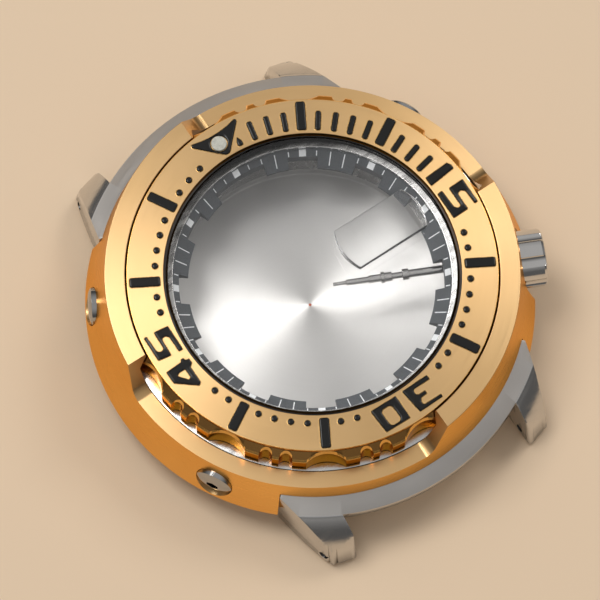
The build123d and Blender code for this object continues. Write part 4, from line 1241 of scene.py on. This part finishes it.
def makeScrew(s, deg):
    out = shroudRadius(shroudSizes, s["z"]) + s["rise"]
    steps = s["domeSteps"]
    dome = [(s["head"] * k / steps, out - s["bevel"] * (k / steps) ** 4) for k in range(steps, -1, -1)]
    outline = [(0, s["end"]), (s["shank"], s["end"]), (s["shank"], s["seat"]), (s["head"], s["seat"])] + dome
    screw = lathe("screw", outline, [chromeDark], segments=96, closed=False)
    hexagon = [onClock(k * 60, s["socket"]) for k in range(6)]
    carve(screw, "DIFFERENCE", prism("socket", hexagon, out - s["socketDepth"], out + 1))
    breakEdges(screw, s["softEdge"], angle=40)
    pointOut(screw, s["z"], deg)
    return screw


screws = join("shroud_screw_set", [makeScrew(screwSizes, deg) for deg in shroudSizes["screwClocks"]])
smoothShade(screws, angle=30)
seat(screws, "case", "shroud_screws", "shroud_screws")

# Crown: grip with broad lobes
crownSizes = {
    "radius": 3.1, "mouth": 20.6, "end": 24.9, "cavity": 1.9, "floor": 24.0, "bevel": 0.35, "shoulderIn": 0.35,
    "shoulderDown": 0.3, "capRing": 0.3, "capInner": 1.2, "grooves": 7, "grooveRadius": 0.95, "grooveDepth": 0.26,
    "softEdge": 0.07, "segments": 840,
}


def makeCrown(s):
    r = s["radius"]
    e = s["bevel"]
    end = s["end"]
    profile = [
        (0, s["floor"]), (s["cavity"], s["floor"]), (s["cavity"], s["mouth"]), (r - e / 2, s["mouth"]),
        (r, s["mouth"] + e / 2), (r, end - e), (r - e * s["shoulderIn"], end - e * s["shoulderDown"]), (r - e, end),
        (r - e - s["capRing"], end), (s["capInner"], end), (0, end)]
    obj = lathe("crown_grip", profile, [steelPolished], s["segments"], closed=False)
    follows = []
    for ringR, z in profile:
        count = 1 if ringR < onAxis else s["segments"]
        follows += [1.0 if ringR > r - e - nearby and z >= s["mouth"] else 0.0] * count
    markPoints(obj, "follows", follows)
    for label in ("inset", "rise"):
        markPoints(obj, label, [0.0] * len(follows))
    runTree(obj, grooves, {
        "Count": s["grooves"], "Groove Radius": s["grooveRadius"] * mm,
        "Groove Place": (r - s["grooveDepth"] + s["grooveRadius"]) * mm, "Start Deg": 0.0, "Slope": 0.0,
        "Material": steelPolished})
    bake(obj)
    tidyMesh(obj)
    breakEdges(obj, s["softEdge"], angle=30, segments=3)
    pointOut(obj, shroudSizes["crownZ"], shroudSizes["crownClock"])
    smoothShade(obj, angle=26)
    seat(obj, "crown", "crown", "crown")


makeCrown(crownSizes)

# Winding stem, seen through the crystal; each step is a length and a radius
stemSizes = {
    "tip": 2.295, "end": 21.73, "shaft": 0.42, "edge": 0.05, "shaftEdge": 0.04,
    "steps": ((1.4, 0.2), (2.4, 0.325), (1.3, 0.42), (0.4, 0.62), (0.8, 0.5), (1.1, 0.33), (0.7, 0.6)),
}


def makeStem(s):
    points = [(0, s["tip"], 0)]
    out = s["tip"]
    for length, radius in s["steps"]:
        points += [(radius, out, s["edge"]), (radius, out + length, s["edge"])]
        out += length
    points += [(s["shaft"], out, s["shaftEdge"]), (s["shaft"], s["end"], s["edge"]), (0, s["end"], 0)]
    stem = lathe("stepped_stem", rounded(points, 0, steps=2, closed=False), [steelPolished], segments=64, closed=False)
    pointOut(stem, shroudSizes["crownZ"], shroudSizes["crownClock"])
    smoothShade(stem, angle=20)
    seat(stem, "crown", "winding_stem", "winding_stem")


makeStem(stemSizes)

# Case back: dished cover with a turned floor, a copper dot at its centre and notches for the key
backSizes = {
    "flange": 18.2, "flangeTop": 1.125, "notches": 6, "notchWidth": 2.2, "notchDepth": 0.9, "notchTop": 1.3,
    "thread": 16.2, "boss": 3.05, "inner": 15.0, "floor": 1.8, "dot": 0.16, "dotFloor": 0.1, "dotDepth": 0.05,
    "softEdge": 0.06,
}


def makeBack(s):
    pit = s["floor"] - s["dotDepth"]
    outline = rounded([
        (0, 0, 0), (s["flange"], 0, 0.25), (s["flange"], s["flangeTop"], 0.06), (s["thread"], s["flangeTop"], 0),
        (s["thread"], s["boss"], 0.1), (s["inner"], s["boss"], 0.1), (s["inner"], s["floor"], 0.25),
        (s["dot"], s["floor"], 0), (s["dotFloor"], pit, 0), (0, pit, 0)], 0, steps=3, closed=False)
    back = lathe("case_back_cover", outline, closed=False)
    edge = s["flange"] - s["notchDepth"]
    pitch = 360 / s["notches"]
    tools = [slab("notch", s["notchWidth"] / 2, edge, 30, -1, s["notchTop"], k * pitch) for k in range(s["notches"])]
    carve(back, "DIFFERENCE", *tools)
    breakEdges(back, s["softEdge"], angle=40)
    paintFaces(back, (steelFloor, copperDot),
               lambda c, normal: 1 if math.hypot(c.x, c.y) < s["dot"] and c.z > s["floor"] - 0.1 else 0)
    smoothShade(back, angle=26)
    seat(back, "caseback", "caseback", "caseback")


makeBack(backSizes)
print("crown, stem and back made")

# CAD pieces whose shape is right keep it and get a finish
plainFinishes = {
    "crystal_gasket": nylonGrey, "bezel_gasket": rubberMatt, "caseback_gasket": rubberMatt, "crown_gasket": rubberMatt,
    "bezel_click_spring": steelPolished, "crown_tube": steelSatin, "crown_spring": steelSatin,
    "stem_sleeve": steelPolished,
}
for node, material in plainFinishes.items():
    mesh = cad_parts[node].data
    mesh.materials.clear()
    mesh.materials.append(material)

# Stage and light; the room is bright overhead and dark at the horizon, between two heights of the view
stageLook = {
    "floor": (0.89, 0.69, 0.49), "floorDark": 0.985, "roughness": 0.7, "clouds": 6.0, "size": 3.0,
    "world": (1.0, 0.985, 0.965), "overhead": 0.50, "horizon": 0.12, "from": 0.30, "to": 0.85,
}
# Places and sizes of the lamps are in metres
lamps = {
    "key": {"place": (-0.16, 0.32, 0.82), "aim": (0, 0, 0.01), "size": 0.36, "power": 2.75,
            "color": (1.0, 0.985, 0.96)},
    "side": {"place": (0.56, 0.13, 0.69), "aim": (0, 0, 0.01), "size": 0.30, "power": 1.3,
             "color": (1.0, 0.97, 0.93)},
}


def makeStage(s):
    half = s["size"]
    mesh = bpy.data.meshes.new("floor")
    mesh.from_pydata([(-half, -half, 0), (half, -half, 0), (half, half, 0), (-half, half, 0)], [], [(0, 1, 2, 3)])
    floor = linked("floor", mesh)
    shade = tuple(c * s["floorDark"] for c in s["floor"])
    mesh.materials.append(grainy("floorPale", shade, s["floor"], s["roughness"], s["clouds"]))
    world = bpy.data.worlds.new("world")
    bpy.context.scene.world = world
    world.use_nodes = True
    back = world.node_tree.nodes["Background"]
    back.inputs["Color"].default_value = (*s["world"], 1)
    n = Nodes(world.node_tree)
    up = n.split(n.add("ShaderNodeTexCoord").outputs["Generated"])[2]
    n.put(mapRange(n, up, s["horizon"], s["overhead"], s["from"], s["to"]), back.inputs["Strength"])


def makeLamp(name, v):
    data = bpy.data.lights.new(name, "AREA")
    data.shape = "SQUARE"
    data.size = v["size"]
    data.energy = v["power"]
    data.color = v["color"]
    linked(name, data).matrix_world = aimed(Vector(v["place"]), Vector(v["aim"]))


makeStage(stageLook)
for lampName, lampValues in lamps.items():
    makeLamp(lampName, lampValues)

print("scene ready")
